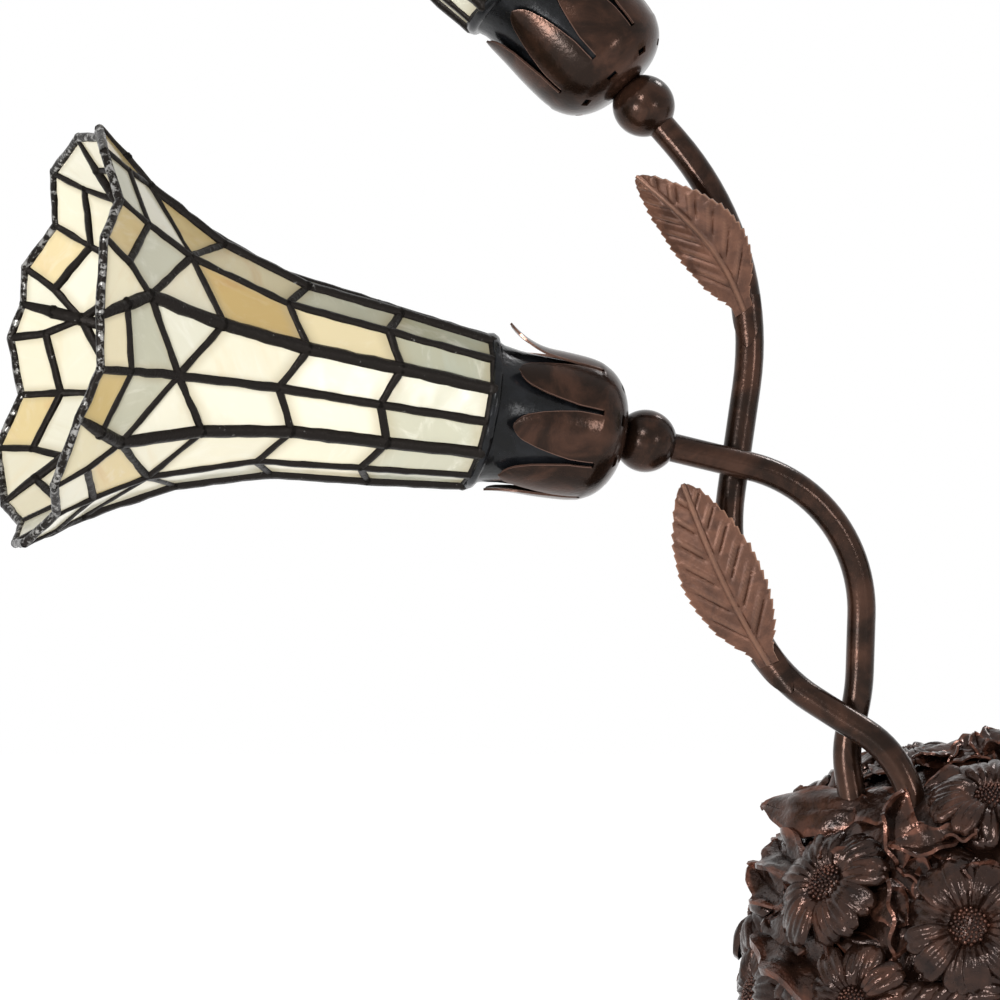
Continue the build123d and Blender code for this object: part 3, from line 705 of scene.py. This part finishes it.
# Petal cups and collars
cup_profile = [(4.95, -50.4), (9, -50.3), (13.4, -49.2), (17.6, -46.9), (20.8, -43.8), (22.7, -40.2),
               (23.3, -38.5), (23.9, -35), (24.2, -31), (24.4, -27), (24.5, -23.5), (24.5, -20.5),
               (24.5, -18), (24.6, -15.5), (24.7, -13), (24.9, -11), (25.1, -9.6), (25.3, -8.6)]
for _ in range(2):
    cut = [cup_profile[0]]
    for (r0, z0), (r1, z1) in zip(cup_profile, cup_profile[1:]):
        cut += [(near * r0 + (1 - near) * r1, near * z0 + (1 - near) * z1) for near in (0.75, 0.25)]
    cup_profile = cut + [cup_profile[-1]]
petal_gap_at = [-38.5, -30, -23.4, -18.3, -13, -11, -9.6, -8.6]
petal_gap = [1.7, 2.0, 4.4, 6.7, 10.4, 12.9, 15.7, 18.9]
petals_round = 8
collar_profile = [(5.2, -49.2), (9, -49.1), (12.6, -47.9), (16.4, -45.5), (19.3, -42.6), (21.0, -38.5),
                  (21.4, -30), (21.6, -20), (22.0, -12), (22.9, -6), (23.9, -3.2), (25.4, -2.9),
                  (26.2, -1.6), (26.0, -0.2), (24.8, 0.5), (23.2, 0.4), (22.0, -3), (21.2, -12),
                  (20.8, -20), (20.6, -30), (20.2, -38.2), (18.7, -42), (15.9, -44.8), (12.3, -47.1),
                  (8.8, -48.3), (5.2, -48.4)]


def turned_shell(name, outline, sides, ripple=None):
    """A closed shell of revolution from an outline of (radius, height), in millimetres."""
    points, faces = [], []
    count = len(outline)
    for k in range(sides):
        a = math.tau * k / sides
        for i, (radius, height) in enumerate(outline):
            r = radius + (ripple(a, radius, height) if ripple else 0)
            points.append(polar(r, a, height) * MM)
    for k in range(sides):
        n = (k + 1) % sides
        for i in range(count):
            j = (i + 1) % count
            faces.append((k * count + i, k * count + j, n * count + j, n * count + i))
    shell = new_mesh(name, points, faces)
    outward(shell, 1e-6, smooth=50)
    return shell


def petal_cup(name, slot_turn, bent):
    """Spun bowl slit into petals; bent gives how far single petals' tips stand out, in millimetres."""
    half = 6
    pitch = 360 / petals_round
    columns = petals_round * (2 * half + 1)
    points, worn, faces = [], [], []
    closed = sum(1 for r, z in cup_profile if z <= -38.5)
    for i, (radius, height) in enumerate(cup_profile):
        gap = np.interp(height, petal_gap_at, petal_gap)
        reach = max(pitch / 2 - math.degrees(gap / 2 / radius), 0.35)
        if i < closed:
            reach = pitch / 2 - math.degrees(0.85 / max(radius, 12))
        for k in range(petals_round):
            lift = bent.get(k, 0.3) * max(0, (height + 24) / 15.4) ** 2.2
            for j in range(-half, half + 1):
                turn = math.radians(slot_turn + pitch * (k + 0.5) + reach * j / half)
                r = radius + lift - 0.25 * (abs(j) / half) ** 2 * (i >= closed)
                points.append(polar(r, turn, height + 0.35 * lift) * MM)
                # Edges and tips of the petals are marked for the paler colour: rubbed metal and a painted
                # edge highlight.
                worn.append(1.0 if i >= closed and (abs(j) == half or i == len(cup_profile) - 1) else 0.0)
    for i in range(len(cup_profile) - 1):
        for c in range(columns):
            n = (c + 1) % columns
            at_slot = n % (2 * half + 1) == 0
            vent = -47.6 < cup_profile[i][1] < -45.9 and c % (2 * half + 1) in (2 * half - 1, 2 * half, 0)
            if vent or (at_slot and i >= closed - 1):
                continue
            faces.append((i * columns + c, i * columns + n, (i + 1) * columns + n, (i + 1) * columns + c))
    cup = new_mesh(name, points, faces)
    mark(cup, "worn", worn)
    return thicken(cup, 0.8)


def solder_ripple(angle, radius, height):
    """The hand-run solder on the collar's ring."""
    if radius < 23.5:
        return 0
    return 0.55 * noise.noise(Vector((math.cos(angle) * 5, math.sin(angle) * 5, height * 0.3)))


slot_turns = {"a": (-2.0, {1: 5.5}), "b": (-12.0, {3: 1.6}), "c": (-2.0, {5: 1.2})}
for letter, place in lights.items():
    turn, bent = slot_turns[letter]
    cup = petal_cup(f"petal_cup_shape_{letter}", turn, bent)
    cup.data.transform(place)
    outward(cup, smooth=40)
    finish_piece(cup, "stand", "bronze", f"petal_cup_{letter}")
    collar = turned_shell(f"collar_shape_{letter}", collar_profile, 96, solder_ripple)
    collar.data.transform(place)
    finish_piece(collar, f"shade_{letter}", "collar_bronze", f"shade_collar_{letter}")


# Stamped leaves
def leaf_mesh(name, length, width, teeth, tooth, fold, bow, **more):
    """A serrated leaf from its stalk at the origin along +X, its face towards +Z, in metres."""
    shape = {"twist": 0.0, "veins": 6, "thick": 0.8, "sway": 0.0, "stalk": 2.6, "emboss": 1.0, "curl": 0.0}
    shape.update(more)
    dice = random.Random(teeth)
    per_tooth, half_columns = 8, 18
    rows = teeth * per_tooth
    nips = [[dice.uniform(0.6, 1.15) for _ in range(teeth + 1)] for _ in range(2)]
    top, worn = [], []
    for i in range(rows + 1):
        u = i / rows
        half = width / 2 * np.interp(u, leaf_share, leaf_width) + shape["stalk"] * (1 - u) ** 3
        saw = (i % per_tooth) / (per_tooth - 1) if 0.06 < u < 0.99 else 0
        for j in range(-half_columns, half_columns + 1):
            v = math.copysign((abs(j) / half_columns) ** 1.3, j)
            spread = abs(v)
            nip = tooth * saw * nips[j > 0][i // per_tooth] * max(0, (spread - 0.72) / 0.28) ** 1.5
            y = v * half + math.copysign(nip, v)
            phase = (u - 0.24 * spread * half / width * 2 - 0.02) * (shape["veins"] + 1)
            off = (phase - round(phase)) / (shape["veins"] + 1) * length
            reach = min(1, max(0, spread - 0.1) / 0.16) * min(1, max(0, 0.94 - spread) / 0.2)
            reach *= 0 < round(phase) <= shape["veins"]
            ridge = math.exp(-((off - 0.3) / 0.9) ** 2)
            groove = math.exp(-((off + 1.7) / 0.85) ** 2)
            rib = math.exp(-(y / 0.42) ** 2)
            z = fold * spread * half + bow * math.sin(math.pi * u)
            z += shape["emboss"] * (reach * (0.6 * ridge - 0.75 * groove) + 0.42 * rib)
            z -= shape["emboss"] * 0.3 * math.exp(-((abs(y) - 0.95) / 0.35) ** 2)
            z += shape["curl"] * max(0, u - 0.55) ** 2 * length
            point = Vector((length * u, y + shape["sway"] * math.sin(math.pi * u), z))
            point.rotate(Matrix.Rotation(shape["twist"] * (u - 0.5), 3, "X"))
            top.append(point * MM)
            # Vein ridges and midrib are marked as rubbed; the cut edge as rubbed and for a painted edge
            # highlight.
            worn.append(max(reach * ridge * 0.55, rib * 0.6, 1.0 if abs(j) == half_columns else 0.0))
    leaf = new_mesh(name, top, grid_faces(rows, 2 * half_columns + 1))
    mark(leaf, "worn", worn)
    return thicken(leaf, shape["thick"])


# Half width of a stamped leaf by share of its length
leaf_share = [0, 0.08, 0.16, 0.26, 0.38, 0.5, 0.6, 0.72, 0.82, 0.9, 0.965, 1]
leaf_width = [0.06, 0.14, 0.48, 0.76, 0.93, 1.0, 0.96, 0.83, 0.63, 0.44, 0.22, 0.0]


def along(start, tip, face):
    """Frame at start with X towards tip and Z out of the face, from millimetres."""
    start, tip = Vector(start), Vector(tip)
    x = (tip - start).normalized()
    z = Vector(face)
    z = (z - x * z.dot(x)).normalized()
    return Matrix.Translation(start * MM) @ Matrix((x, z.cross(x), z)).transposed().to_4x4()


# Blades on stem b: tip, face, width, fold, bow and shape, then the stem's middle and direction at the clasp
stem_leaves = {
    "leaf_lower": ((-106.4, -52.0, 255.9), (-0.25, -1, 0.1), 25.4, -0.16, 2.0, {"twist": 0.35, "sway": 1.6},
                   (-76.37, -37.09, 196.42), (0.6075, -0.1159, -0.7858)),
    "leaf_upper": ((-121.3, -42.0, 357.7), (-0.75, -1, 0.35), 23.0, -0.22, 3.0,
                   {"twist": -0.5, "sway": -6.0, "emboss": 0.8},
                   (-84.46, -29.19, 312.84), (0.0991, -0.0674, -0.9928)),
}
for name, (tip, face, width, fold, bow, shape, middle, run) in stem_leaves.items():
    middle, run = Vector(middle), Vector(run)
    front = Vector((-0.3, -1, 0))
    front = (front - run * front.dot(run)).normalized()
    side = run.cross(front)
    stalk = middle + front * 5.1
    leaf = leaf_mesh(name + "_blade", (Vector(tip) - stalk).length, width, 20, 1.0, fold, bow, **shape)
    leaf.data.transform(along(stalk, tip, face))
    outward(leaf, smooth=60)
    finish_piece(leaf, "stand", "leaf_bronze", name)
    wrap, steps, rows = [], 12, 10
    for row in range(rows + 1):
        level = row / rows
        reach = 0.12 + 1.1 * math.sin(math.pi * min(1, 0.42 + 0.58 * level)) ** 0.8
        for k in range(steps + 1):
            spread = reach * (2 * k / steps - 1)
            out = front * math.cos(spread) + side * math.sin(spread)
            wrap.append((middle + out * 5.2 + run * (17 * level - 5)) * MM)
    clasp = new_mesh(name + "_clasp", wrap, grid_faces(rows, steps + 1))
    thicken(clasp, 0.6, 0)
    outward(clasp, smooth=60)
    finish_piece(clasp, "stand", "bronze")


# Flower basket
rim_z, dome_r, dome_h = 88.0, 79.0, 76.0
dome_power = 2.5


def dome_radius(height):
    share = min(max((height - rim_z) / dome_h, 0), 1)
    return dome_r * (1 - share ** dome_power) ** (1 / dome_power)


def dome_seat(azimuth, height, sink=0.0, turn=0.0, tip_up=0.0):
    """Frame on the dome with Z out of its face and X level; tip_up leans the face upwards."""
    radius = dome_radius(height)
    slope = (dome_radius(height - 1) - dome_radius(height + 1)) / 2
    out = Vector((1, 0, slope)).normalized()
    out.rotate(Matrix.Rotation(math.radians(-tip_up), 3, "Y"))
    x = Vector((0, 1, 0))
    turned = Matrix.Rotation(math.radians(azimuth), 4, "Z")
    place = Matrix.Translation((Vector((radius, 0, height)) - out * sink) * MM)
    facing = Matrix((x, out.cross(x), out)).transposed().to_4x4()
    return turned @ place @ facing @ Matrix.Rotation(math.radians(turn), 4, "Z")


def petal_shape(length, width, notch, cup, ribs, thick):
    """One daisy petal along +X with a ribbed face, a blunt notched tip and a closed underside."""
    rows, half = 10, 6
    top = []
    for i in range(rows + 1):
        u = i / rows
        reach = 0.42 + 0.58 * math.sin(math.pi * min(u * 0.82, 0.5)) ** 1.2
        if u > 0.8:
            reach *= math.sqrt(max(0.0, 1 - ((u - 0.8) / 0.235) ** 2))
        for j in range(-half, half + 1):
            v = j / half
            x = length * u - notch * math.exp(-(v / 0.22) ** 2) * max(0, (u - 0.75) / 0.25)
            z = cup * math.sin(math.pi * u ** 0.7) * (1 - 0.35 * v * v)
            z += 0.9 * v * v * (1 - u) - 2.2 * u ** 3
            swell = math.sin(math.pi * min(1, u * 1.05)) ** 0.5 * (1.15 - 0.6 * u)
            z += 0.55 * math.cos(v * math.pi * ribs) * swell
            top.append((x, v * width / 2 * reach, z))
    across = 2 * half + 1
    count = len(top)
    low = [(x, y, z - thick) for x, y, z in top]
    faces = grid_faces(rows, across)
    faces += [tuple(count + q for q in reversed(quad)) for quad in faces]
    rim = list(range(across)) + [i * across + across - 1 for i in range(1, rows + 1)]
    rim += [rows * across + j for j in range(across - 2, -1, -1)]
    rim += [i * across for i in range(rows - 1, 0, -1)]
    for a, b in zip(rim, rim[1:] + rim[:1]):
        faces.append((a, b, count + b, count + a))
    shape = new_mesh("petal", [Vector(p) * MM for p in top + low], faces)
    outward(shape, 1e-5, smooth=70)
    return hidden(shape)


def button(radius, height, rings=4, sides=20):
    """The domed middle of a daisy."""
    points, faces = [], []
    for i in range(rings + 1):
        turn = math.pi / 2 * i / rings
        for k in range(sides):
            a = math.tau * k / sides
            points.append(polar(radius * math.cos(turn), a, height * math.sin(turn)) * MM)
    for i in range(rings):
        for k in range(sides):
            n = (k + 1) % sides
            faces.append((i * sides + k, i * sides + n, (i + 1) * sides + n, (i + 1) * sides + k))
    faces.append(range(sides - 1, -1, -1))
    return points, faces


def seed_shape():
    made = bpy.data.meshes.new("seed")
    grain = bmesh.new()
    bmesh.ops.create_icosphere(grain, subdivisions=1, radius=0.62 * MM)
    for vert in grain.verts:
        vert.co.z *= 1.25
    for face in grain.faces:
        face.smooth = True
    grain.to_mesh(made)
    grain.free()
    return bpy.data.objects.new("seed", made)


petal = petal_shape(16.2, 9.6, 0.7, 3.2, 3.0, 2.2)
seed = seed_shape()
mark(seed, "rubbed", [0.75] * len(seed.data.vertices))
daisy_disc_r, daisy_disc_h, daisy_petals, daisy_grains = 6.2, 3.0, 12, 62
golden_turn = 2.39996
golden_degrees = 137.508


def daisy_parts(seats, sizes, seed_number):
    """Frames of all petals, middles and seeds of daisies on the seats."""
    dice = random.Random(seed_number)
    petals, petal_sizes, grains, grain_sizes = [], [], [], []
    for seat, size in zip(seats, sizes):
        start = dice.uniform(0, 40)
        for k in range(daisy_petals):
            bearing = start + 360 * k / daisy_petals + dice.uniform(-4, 4)
            turn = Matrix.Rotation(math.radians(bearing), 4, "Z")
            lift = (1.1 if k % 2 else 0.0) + dice.uniform(-0.4, 0.4)
            root = Matrix.Translation(Vector((4.9, 0, lift)) * MM * size)
            tilt = Matrix.Rotation(math.radians(dice.uniform(-14, 6)), 4, "Y")
            tilt = tilt @ Matrix.Rotation(math.radians(dice.uniform(-16, 16)), 4, "X")
            petals.append(seat @ turn @ root @ tilt)
            petal_sizes.append(size * dice.uniform(0.93, 1.07))
        for k in range(daisy_grains):
            share = math.sqrt((k + 0.5) / daisy_grains)
            flat = daisy_disc_r * share * 0.97
            height = daisy_disc_h * math.sqrt(max(0.0, 1 - share * share)) + 1.6
            spot = polar(flat, k * golden_turn, height) * MM * size
            grains.append(seat @ Matrix.Translation(spot))
            grain_sizes.append(size * (0.75 + 0.45 * share))
    return petals, petal_sizes, grains, grain_sizes


# Daisies as azimuth, height, lean, rise off the ground and size: first the four of the photograph
daisy_seats = [(222.5, 121, 12, 4.5, 1.08), (261.5, 109, 6, 6.0, 1.08), (235, 83, 10, 8.0, 1.0),
               (266, 148, 6, 4.5, 0.98)]
for k in range(2, 9):
    daisy_seats.append((223 + 40 * k, 118 + (4 if k % 2 else -4), 10, 2.0, 1.0))
for k in range(1, 9):
    daisy_seats.append((235 + 40 * k, 85 + (3 if k % 2 else 0), 8, 5.0, 1.0))
for azimuth in (332, 80, 152):
    daisy_seats.append((azimuth, 149, 8, 4.5, 0.95))
seats = [dome_seat(azimuth, height, -rise, 0, lean) for azimuth, height, lean, rise, _ in daisy_seats]
daisy_sizes = [seat[4] for seat in daisy_seats]


def crown_height(x, y):
    return rim_z + dome_h * (1 - (math.hypot(x, y) / dome_r) ** dome_power) ** (1 / dome_power)


# Daisies on the top of the dome as x, y and size
crown_daisies = [(0, 12, 0.9), (-30, 2, 0.85), (-22, 42, 0.88), (26, 30, 0.85), (32, -4, 0.86),
                 (18, -32, 0.84)]
for x, y, size in crown_daisies:
    seats.append(dome_seat(math.degrees(math.atan2(y, x)), crown_height(x, y), -2.6, 0, 3))
    daisy_sizes.append(size)
petals, petal_sizes, grains, grain_sizes = daisy_parts(seats, daisy_sizes, 11)
cast = finishes["cast_bronze"]


def cast_piece(name, shape, frames, sizes):
    """Copies of a shape on the casting, as one piece of it."""
    finish_piece(set_out(name, shape, frames, sizes, cast), "stand", "cast_bronze")


cast_piece("daisy_petals", petal, petals, petal_sizes)
disc_points, disc_faces = button(daisy_disc_r, daisy_disc_h)
disc = hidden(new_mesh("disc", [p + Vector((0, 0, 1.2 * MM)) for p in disc_points], disc_faces))
outward(disc, smooth=60)
cast_piece("daisy_discs", disc, seats, daisy_sizes)
cast_piece("daisy_seeds", seed, grains, grain_sizes)

# Half width of a cast leaf by share of its length
soft_share = [0, 0.12, 0.3, 0.5, 0.7, 0.86, 0.95, 1]
soft_width = [0.3, 0.55, 0.9, 1, 0.86, 0.52, 0.24, 0.0]


def soft_leaf(name, length, width, cup, curl, ruffle, keen=0.0):
    """A smooth cast leaf along +X: cup raises its sides, curl its tip, ruffle waves its edges."""
    rows, half_columns = 18, 6
    points, worn = [], []
    for i in range(rows + 1):
        u = i / rows
        half = width / 2 * np.interp(u, soft_share, soft_width)
        half *= 1 - keen * u
        for j in range(-half_columns, half_columns + 1):
            v = j / half_columns
            wave = math.sin(math.tau * (2.2 * u + (0.3 if j > 0 else 0))) * v * v
            z = cup * half * abs(v) ** 1.6 + curl * length * max(0, u - 0.35) ** 2 + ruffle * wave
            z += 2.2 * math.sin(math.pi * min(1, u * 1.1)) - 0.8 * math.exp(-(v * half / 0.9) ** 2)
            z -= 0.45 * (1 - abs(v)) * math.cos(math.tau * (5 * u - 1.6 * abs(v))) * abs(v) ** 0.5
            z += 0.9 * noise.noise(Vector((length * u * 0.22, v * half * 0.3, width)))
            y = v * half * (1 + 0.08 * math.sin(17 * u + j)) + 0.08 * length * math.sin(math.pi * u)
            points.append(Vector((length * u, y, z)) * MM)
            # Edges and tip are marked more rubbed: rubbed lacquer and a painted edge highlight.
            worn.append(0.9 if abs(j) >= half_columns - 1 or i >= rows - 1 else 0.3)
    leaf = new_mesh(name, points, grid_faces(rows, 2 * half_columns + 1))
    mark(leaf, "rubbed", worn)
    thicken(leaf, 1.3)
    outward(leaf, smooth=75)
    return hidden(leaf)


stem_points = []
for letter in lights:
    tube = frame["nodes"][f"stem_tube_{letter}"]
    stem_points += [tuple(tube.matrix_world @ vert.co) for vert in tube.data.vertices]
stem_points = np.array([point for point in stem_points if point[2] < 0.19])


def clear_of_stems(place, length, room):
    """Whether a leaf's middle line keeps its room from the stems, in millimetres."""
    for share in (0.1, 0.55, 1.0):
        spot = np.array(place @ Vector((length * share * MM, 0, 0)))
        if np.linalg.norm(stem_points - spot, axis=1).min() < room * MM:
            return False
    return True


def ground(x, z, rise):
    """Point in front of the dome, rise millimetres off its ground."""
    radius = dome_radius(z) + rise
    return Vector((x, -math.sqrt(max(radius * radius - x * x, 60.0)), z))


cast_leaf_length = 28.0
leaf_kinds = [
    soft_leaf("broad_leaf", cast_leaf_length, 17.0, -0.12, 0.10, 0.7),
    soft_leaf("curled_leaf", cast_leaf_length, 14.0, 0.55, 0.75, 1.6),
    soft_leaf("horn_leaf", cast_leaf_length, 15.0, -0.40, -0.10, 0.3, 0.55),
    soft_leaf("trough_leaf", cast_leaf_length, 15.0, 0.62, 0.05, 0.9, 0.2),
]
# Leaves that the photograph shows: root and tip as x, z and rise, then the way the face looks and the kind
seen_leaves = [
    ((-46, 148, 1), (-80, 149.5, 9), (-0.1, -1, 0.5), 2),
    ((-58, 140, 0), (-66, 154, 3), (-0.5, -1, 0.5), 0),
    ((-63, 127, 2), (-73, 137, 4), (-0.5, -1, 0.4), 3),
    ((-68, 117, 1), (-76, 125, 3), (-0.6, -1, 0.3), 1),
    ((-36, 129, 3), (-37, 150, 5), (0.5, -1, 0.2), 1),
    ((-14, 141, 3), (-38, 132, 7), (0.1, -0.8, 0.8), 1),
    ((-39, 126, 2), (-38, 99, 5), (0.6, -1, 0.1), 3),
    ((-77, 107, 3), (-54, 80, 8), (-0.5, -0.9, 0.4), 3),
    ((-16, 163, 1), (-2, 170, 4), (-0.4, -1, 0.3), 0),
    ((4, 163, 1), (-5, 174, 3), (0.3, -1, 0.3), 0),
    ((-26, 154, 1), (-8, 158, 4), (-0.1, -0.8, 0.6), 0),
    ((-34, 146, 1), (-46, 153, 3), (-0.3, -0.8, 0.6), 0),
    ((-66, 138, 1), (-56, 146, 2), (-0.5, -0.8, 0.5), 1),
    ((-38, 134, 1), (-27, 144, 3), (-0.1, -0.9, 0.4), 0),
    ((-8, 163, 1), (-28, 166, 4), (-0.1, -0.6, 1), 0),
    ((-22, 134, 2), (-30, 118, 4), (-0.1, -1, 0.3), 0),
    ((-64, 103, 3), (-77.5, 111, 4), (-0.7, -1, 0.3), 0),
]
leaf_frames = [[], [], [], []]
for root, tip, face, kind in seen_leaves:
    place = along(ground(*root), ground(*tip), face)
    leaf_frames[kind].append((place, (ground(*tip) - ground(*root)).length))
behind = [((-56, 2, 150), (-38, 8, 165), (-0.4, -0.6, 0.7), 0),
          ((-30, -16, 160), (-42, -2, 165), (-0.2, -0.4, 1), 1)]
for root, tip, face, kind in behind:
    leaf_frames[kind].append((along(root, tip, face), (Vector(tip) - Vector(root)).length))
leaf_dice = random.Random(9)
side_leaves, top_leaves = 170, 60
for k in range(side_leaves):
    height = 84 + 80 * (k + 0.5) / side_leaves
    azimuth = (k * golden_degrees) % 360
    crowded = min(abs((azimuth - seat[0] + 180) % 360 - 180) * dome_radius(height) / 57
                  + abs(height - seat[1]) for seat in daisy_seats)
    length = leaf_dice.uniform(17, 25) if height < 140 else leaf_dice.uniform(13, 19)
    heading_turn = leaf_dice.uniform(0, 360)
    place = dome_seat(azimuth, height, -0.3 if height > 92 else -6, heading_turn)
    place = place @ Matrix.Rotation(math.radians(-leaf_dice.uniform(2, 12)), 4, "Y")
    rolled = place @ Matrix.Rotation(leaf_dice.uniform(-0.3, 0.3), 4, "X")
    tip = place @ Vector((length * MM, 0, 0))
    reach = math.hypot(tip.x, tip.y) / MM - dome_radius(tip.z / MM)
    flat = reach < 7 or tip.z > 0.155
    over_petals = -48 < tip.x / MM < -26 and tip.y < 0 and tip.z < 0.099
    on_dome = 0.074 < tip.z < 0.169
    if crowded > 12 and flat and not over_petals and on_dome and clear_of_stems(place, length, 7.5):
        leaf_frames[leaf_dice.choice((0, 3, 1, 2))].append((rolled, length))
for k in range(top_leaves):
    flat = 50 * math.sqrt((k + 0.5) / top_leaves)
    turn = k * golden_turn
    x, y = flat * math.cos(turn), flat * math.sin(turn)
    length = leaf_dice.uniform(14, 19)
    place = dome_seat(math.degrees(turn), crown_height(x, y), -0.8, leaf_dice.uniform(0, 360))
    place = place @ Matrix.Rotation(math.radians(-leaf_dice.uniform(4, 12)), 4, "Y")
    near = min((place.translation - seat.translation).length for seat in seats)
    if near > 0.0125 and clear_of_stems(place, length, 8.5) and y > -30:
        leaf_frames[leaf_dice.choice((0, 1, 1, 2))].append((place, length))
for kind, shape in enumerate(leaf_kinds):
    sizes = [length / cast_leaf_length for _, length in leaf_frames[kind]]
    places = [place for place, _ in leaf_frames[kind]]
    cast_piece(f"cast_leaves_{kind}", shape, places, sizes)


def dome_ripple(angle, radius, height):
    """Rough ground between the flowers of the dome."""
    if height < rim_z:
        return 0
    return 1.6 * noise.noise(polar(radius, angle, height) * 0.16)


foot_z, foot_r, rim_r = 2.7, 72.0, 83.0
heights = [rim_z + dome_h * (1 - (1 - t / 22) ** 2.2) for t in range(22)]
dome_line = [(dome_radius(h), h) for h in heights] + [(0.4, rim_z + dome_h)]
wall = [(foot_r - 1.0, foot_z), (rim_r - 3.5, rim_z)]
inside = [(0.4, rim_z + dome_h - 4.5)] + [(max(r - 4.5, 0.4), h - 2) for r, h in reversed(dome_line[:-1])]
basket_outline = wall + dome_line + inside + [(foot_r - 5.5, foot_z)]
ground_piece = turned_shell("basket_wall", basket_outline, 120, dome_ripple)
finish_piece(ground_piece, "stand", "cast_bronze", "base_casting")

# Woven wall: level strands that run in front of and behind the stakes, and the stakes
weave_rows, weave_stakes = 13, 36
weave_low, weave_high = 8.0, 82.0
strand_points, strand_edges, strand_thick = [], [], []


def wall_radius(height, inset):
    """Radius of the woven wall, which widens from the foot to the rim."""
    return foot_r - inset + (rim_r - foot_r - 2.5) * (height - foot_z) / (rim_z - foot_z)


def add_line(points, closed, thick):
    start = len(strand_points)
    strand_points.extend(Vector(p) * MM for p in points)
    strand_edges.extend((start + i, start + i + 1) for i in range(len(points) - 1))
    if closed:
        strand_edges.append((start + len(points) - 1, start))
    strand_thick.extend([thick] * len(points))


for row in range(weave_rows):
    height = weave_low + (weave_high - weave_low) * (row + 0.5) / weave_rows
    ring = []
    for k in range(weave_stakes * 8):
        a = math.tau * k / (weave_stakes * 8)
        sway = 1.7 * math.sin(a * weave_stakes / 2 + math.pi * row)
        ring.append(polar(wall_radius(height, 0.6) + sway, a, height))
    add_line(ring, True, 2.7)
for k in range(weave_stakes):
    a = math.tau * (k + 0.5) / weave_stakes
    stake = []
    for t in range(9):
        height = weave_low - 2 + (weave_high - weave_low + 4) * t / 8
        stake.append(polar(wall_radius(height, 0.8), a, height))
    add_line(stake, False, 2.2)
# Ropes on the rim and the foot: height, radius, swirl and strand
ropes = [(rim_z, rim_r - 0.6, 2.5, 3.0), (foot_z + 3.4, foot_r + 0.6, 1.7, 2.0)]
rope_points, rope_twists = 480, 32
for row_z, rope_r, swirl, strand in ropes:
    for s in range(3):
        ring = []
        for k in range(rope_points):
            a = math.tau * k / rope_points
            twist = a * rope_twists + math.tau * s / 3
            r = rope_r + swirl * math.cos(twist)
            ring.append(polar(r, a, row_z + swirl * math.sin(twist)))
        add_line(ring, True, strand)
weave = new_mesh("basket_weave", strand_points, edges=strand_edges)
mark(weave, "thick", strand_thick)
beads.run(weave, radius=MM, step=3 * MM, waver=0.0, sides=7, lumps=0.0, finish=cast)
outward(weave, 0)
finish_piece(weave, "stand", "cast_bronze")


# Floor and surroundings
def pale_floor():
    """White to the camera and to reflections, and plain pale to the light, so its shadow stays."""
    f = Finish("floor")
    grain = f.cloud(0.4, 2.0)
    color = f.blend(grain, (0.80, 0.80, 0.80), (0.84, 0.84, 0.84))
    path = f.tree.nodes.new("ShaderNodeLightPath")
    seen = Wire(f, path.outputs["Is Camera Ray"])
    for kind in ("Is Glossy Ray", "Is Transmission Ray"):
        seen = seen.math("MAXIMUM", seen, Wire(f, path.outputs[kind]))
    lit = f.node("ShaderNodeBsdfDiffuse", {}, {"Color": color})
    lift = f.node("ShaderNodeEmission", {}, {"Color": (1, 1, 1, 1), "Strength": 0.55})
    bounce = f.node("ShaderNodeAddShader", {}, {0: lit, 1: lift})
    glow = f.node("ShaderNodeEmission", {}, {"Color": (1, 1, 1, 1), "Strength": 0.94})
    both = f.node("ShaderNodeAddShader", {}, {0: lit, 1: glow})
    surface = f.node("ShaderNodeMixShader", {}, {0: seen, 1: bounce, 2: both})
    f.node("ShaderNodeOutputMaterial", {}, {"Surface": surface})
    return f.material


floor = new_mesh("floor", [(-6, -6, 0), (6, -6, 0), (6, 6, 0), (-6, 6, 0)], [(0, 1, 2, 3)])
floor.data.materials.append(pale_floor())

world = bpy.data.worlds.new("surroundings")
world.use_nodes = True
bpy.context.scene.world = world
sky = Net(world.node_tree)
sky.tree.nodes.clear()
path = sky.tree.nodes.new("ShaderNodeLightPath")
direct = Wire(sky, path.outputs["Is Camera Ray"])
direct = direct.math("MAXIMUM", direct, Wire(sky, path.outputs["Is Transmission Ray"]))
mirrored = Wire(sky, path.outputs["Is Glossy Ray"])
strength = 0.14 + 0.86 * direct.math("MAXIMUM", direct, mirrored)
background = sky.node("ShaderNodeBackground", {}, {"Color": (1, 1, 1, 1), "Strength": strength})
sky.node("ShaderNodeOutputWorld", {}, {"Surface": background})
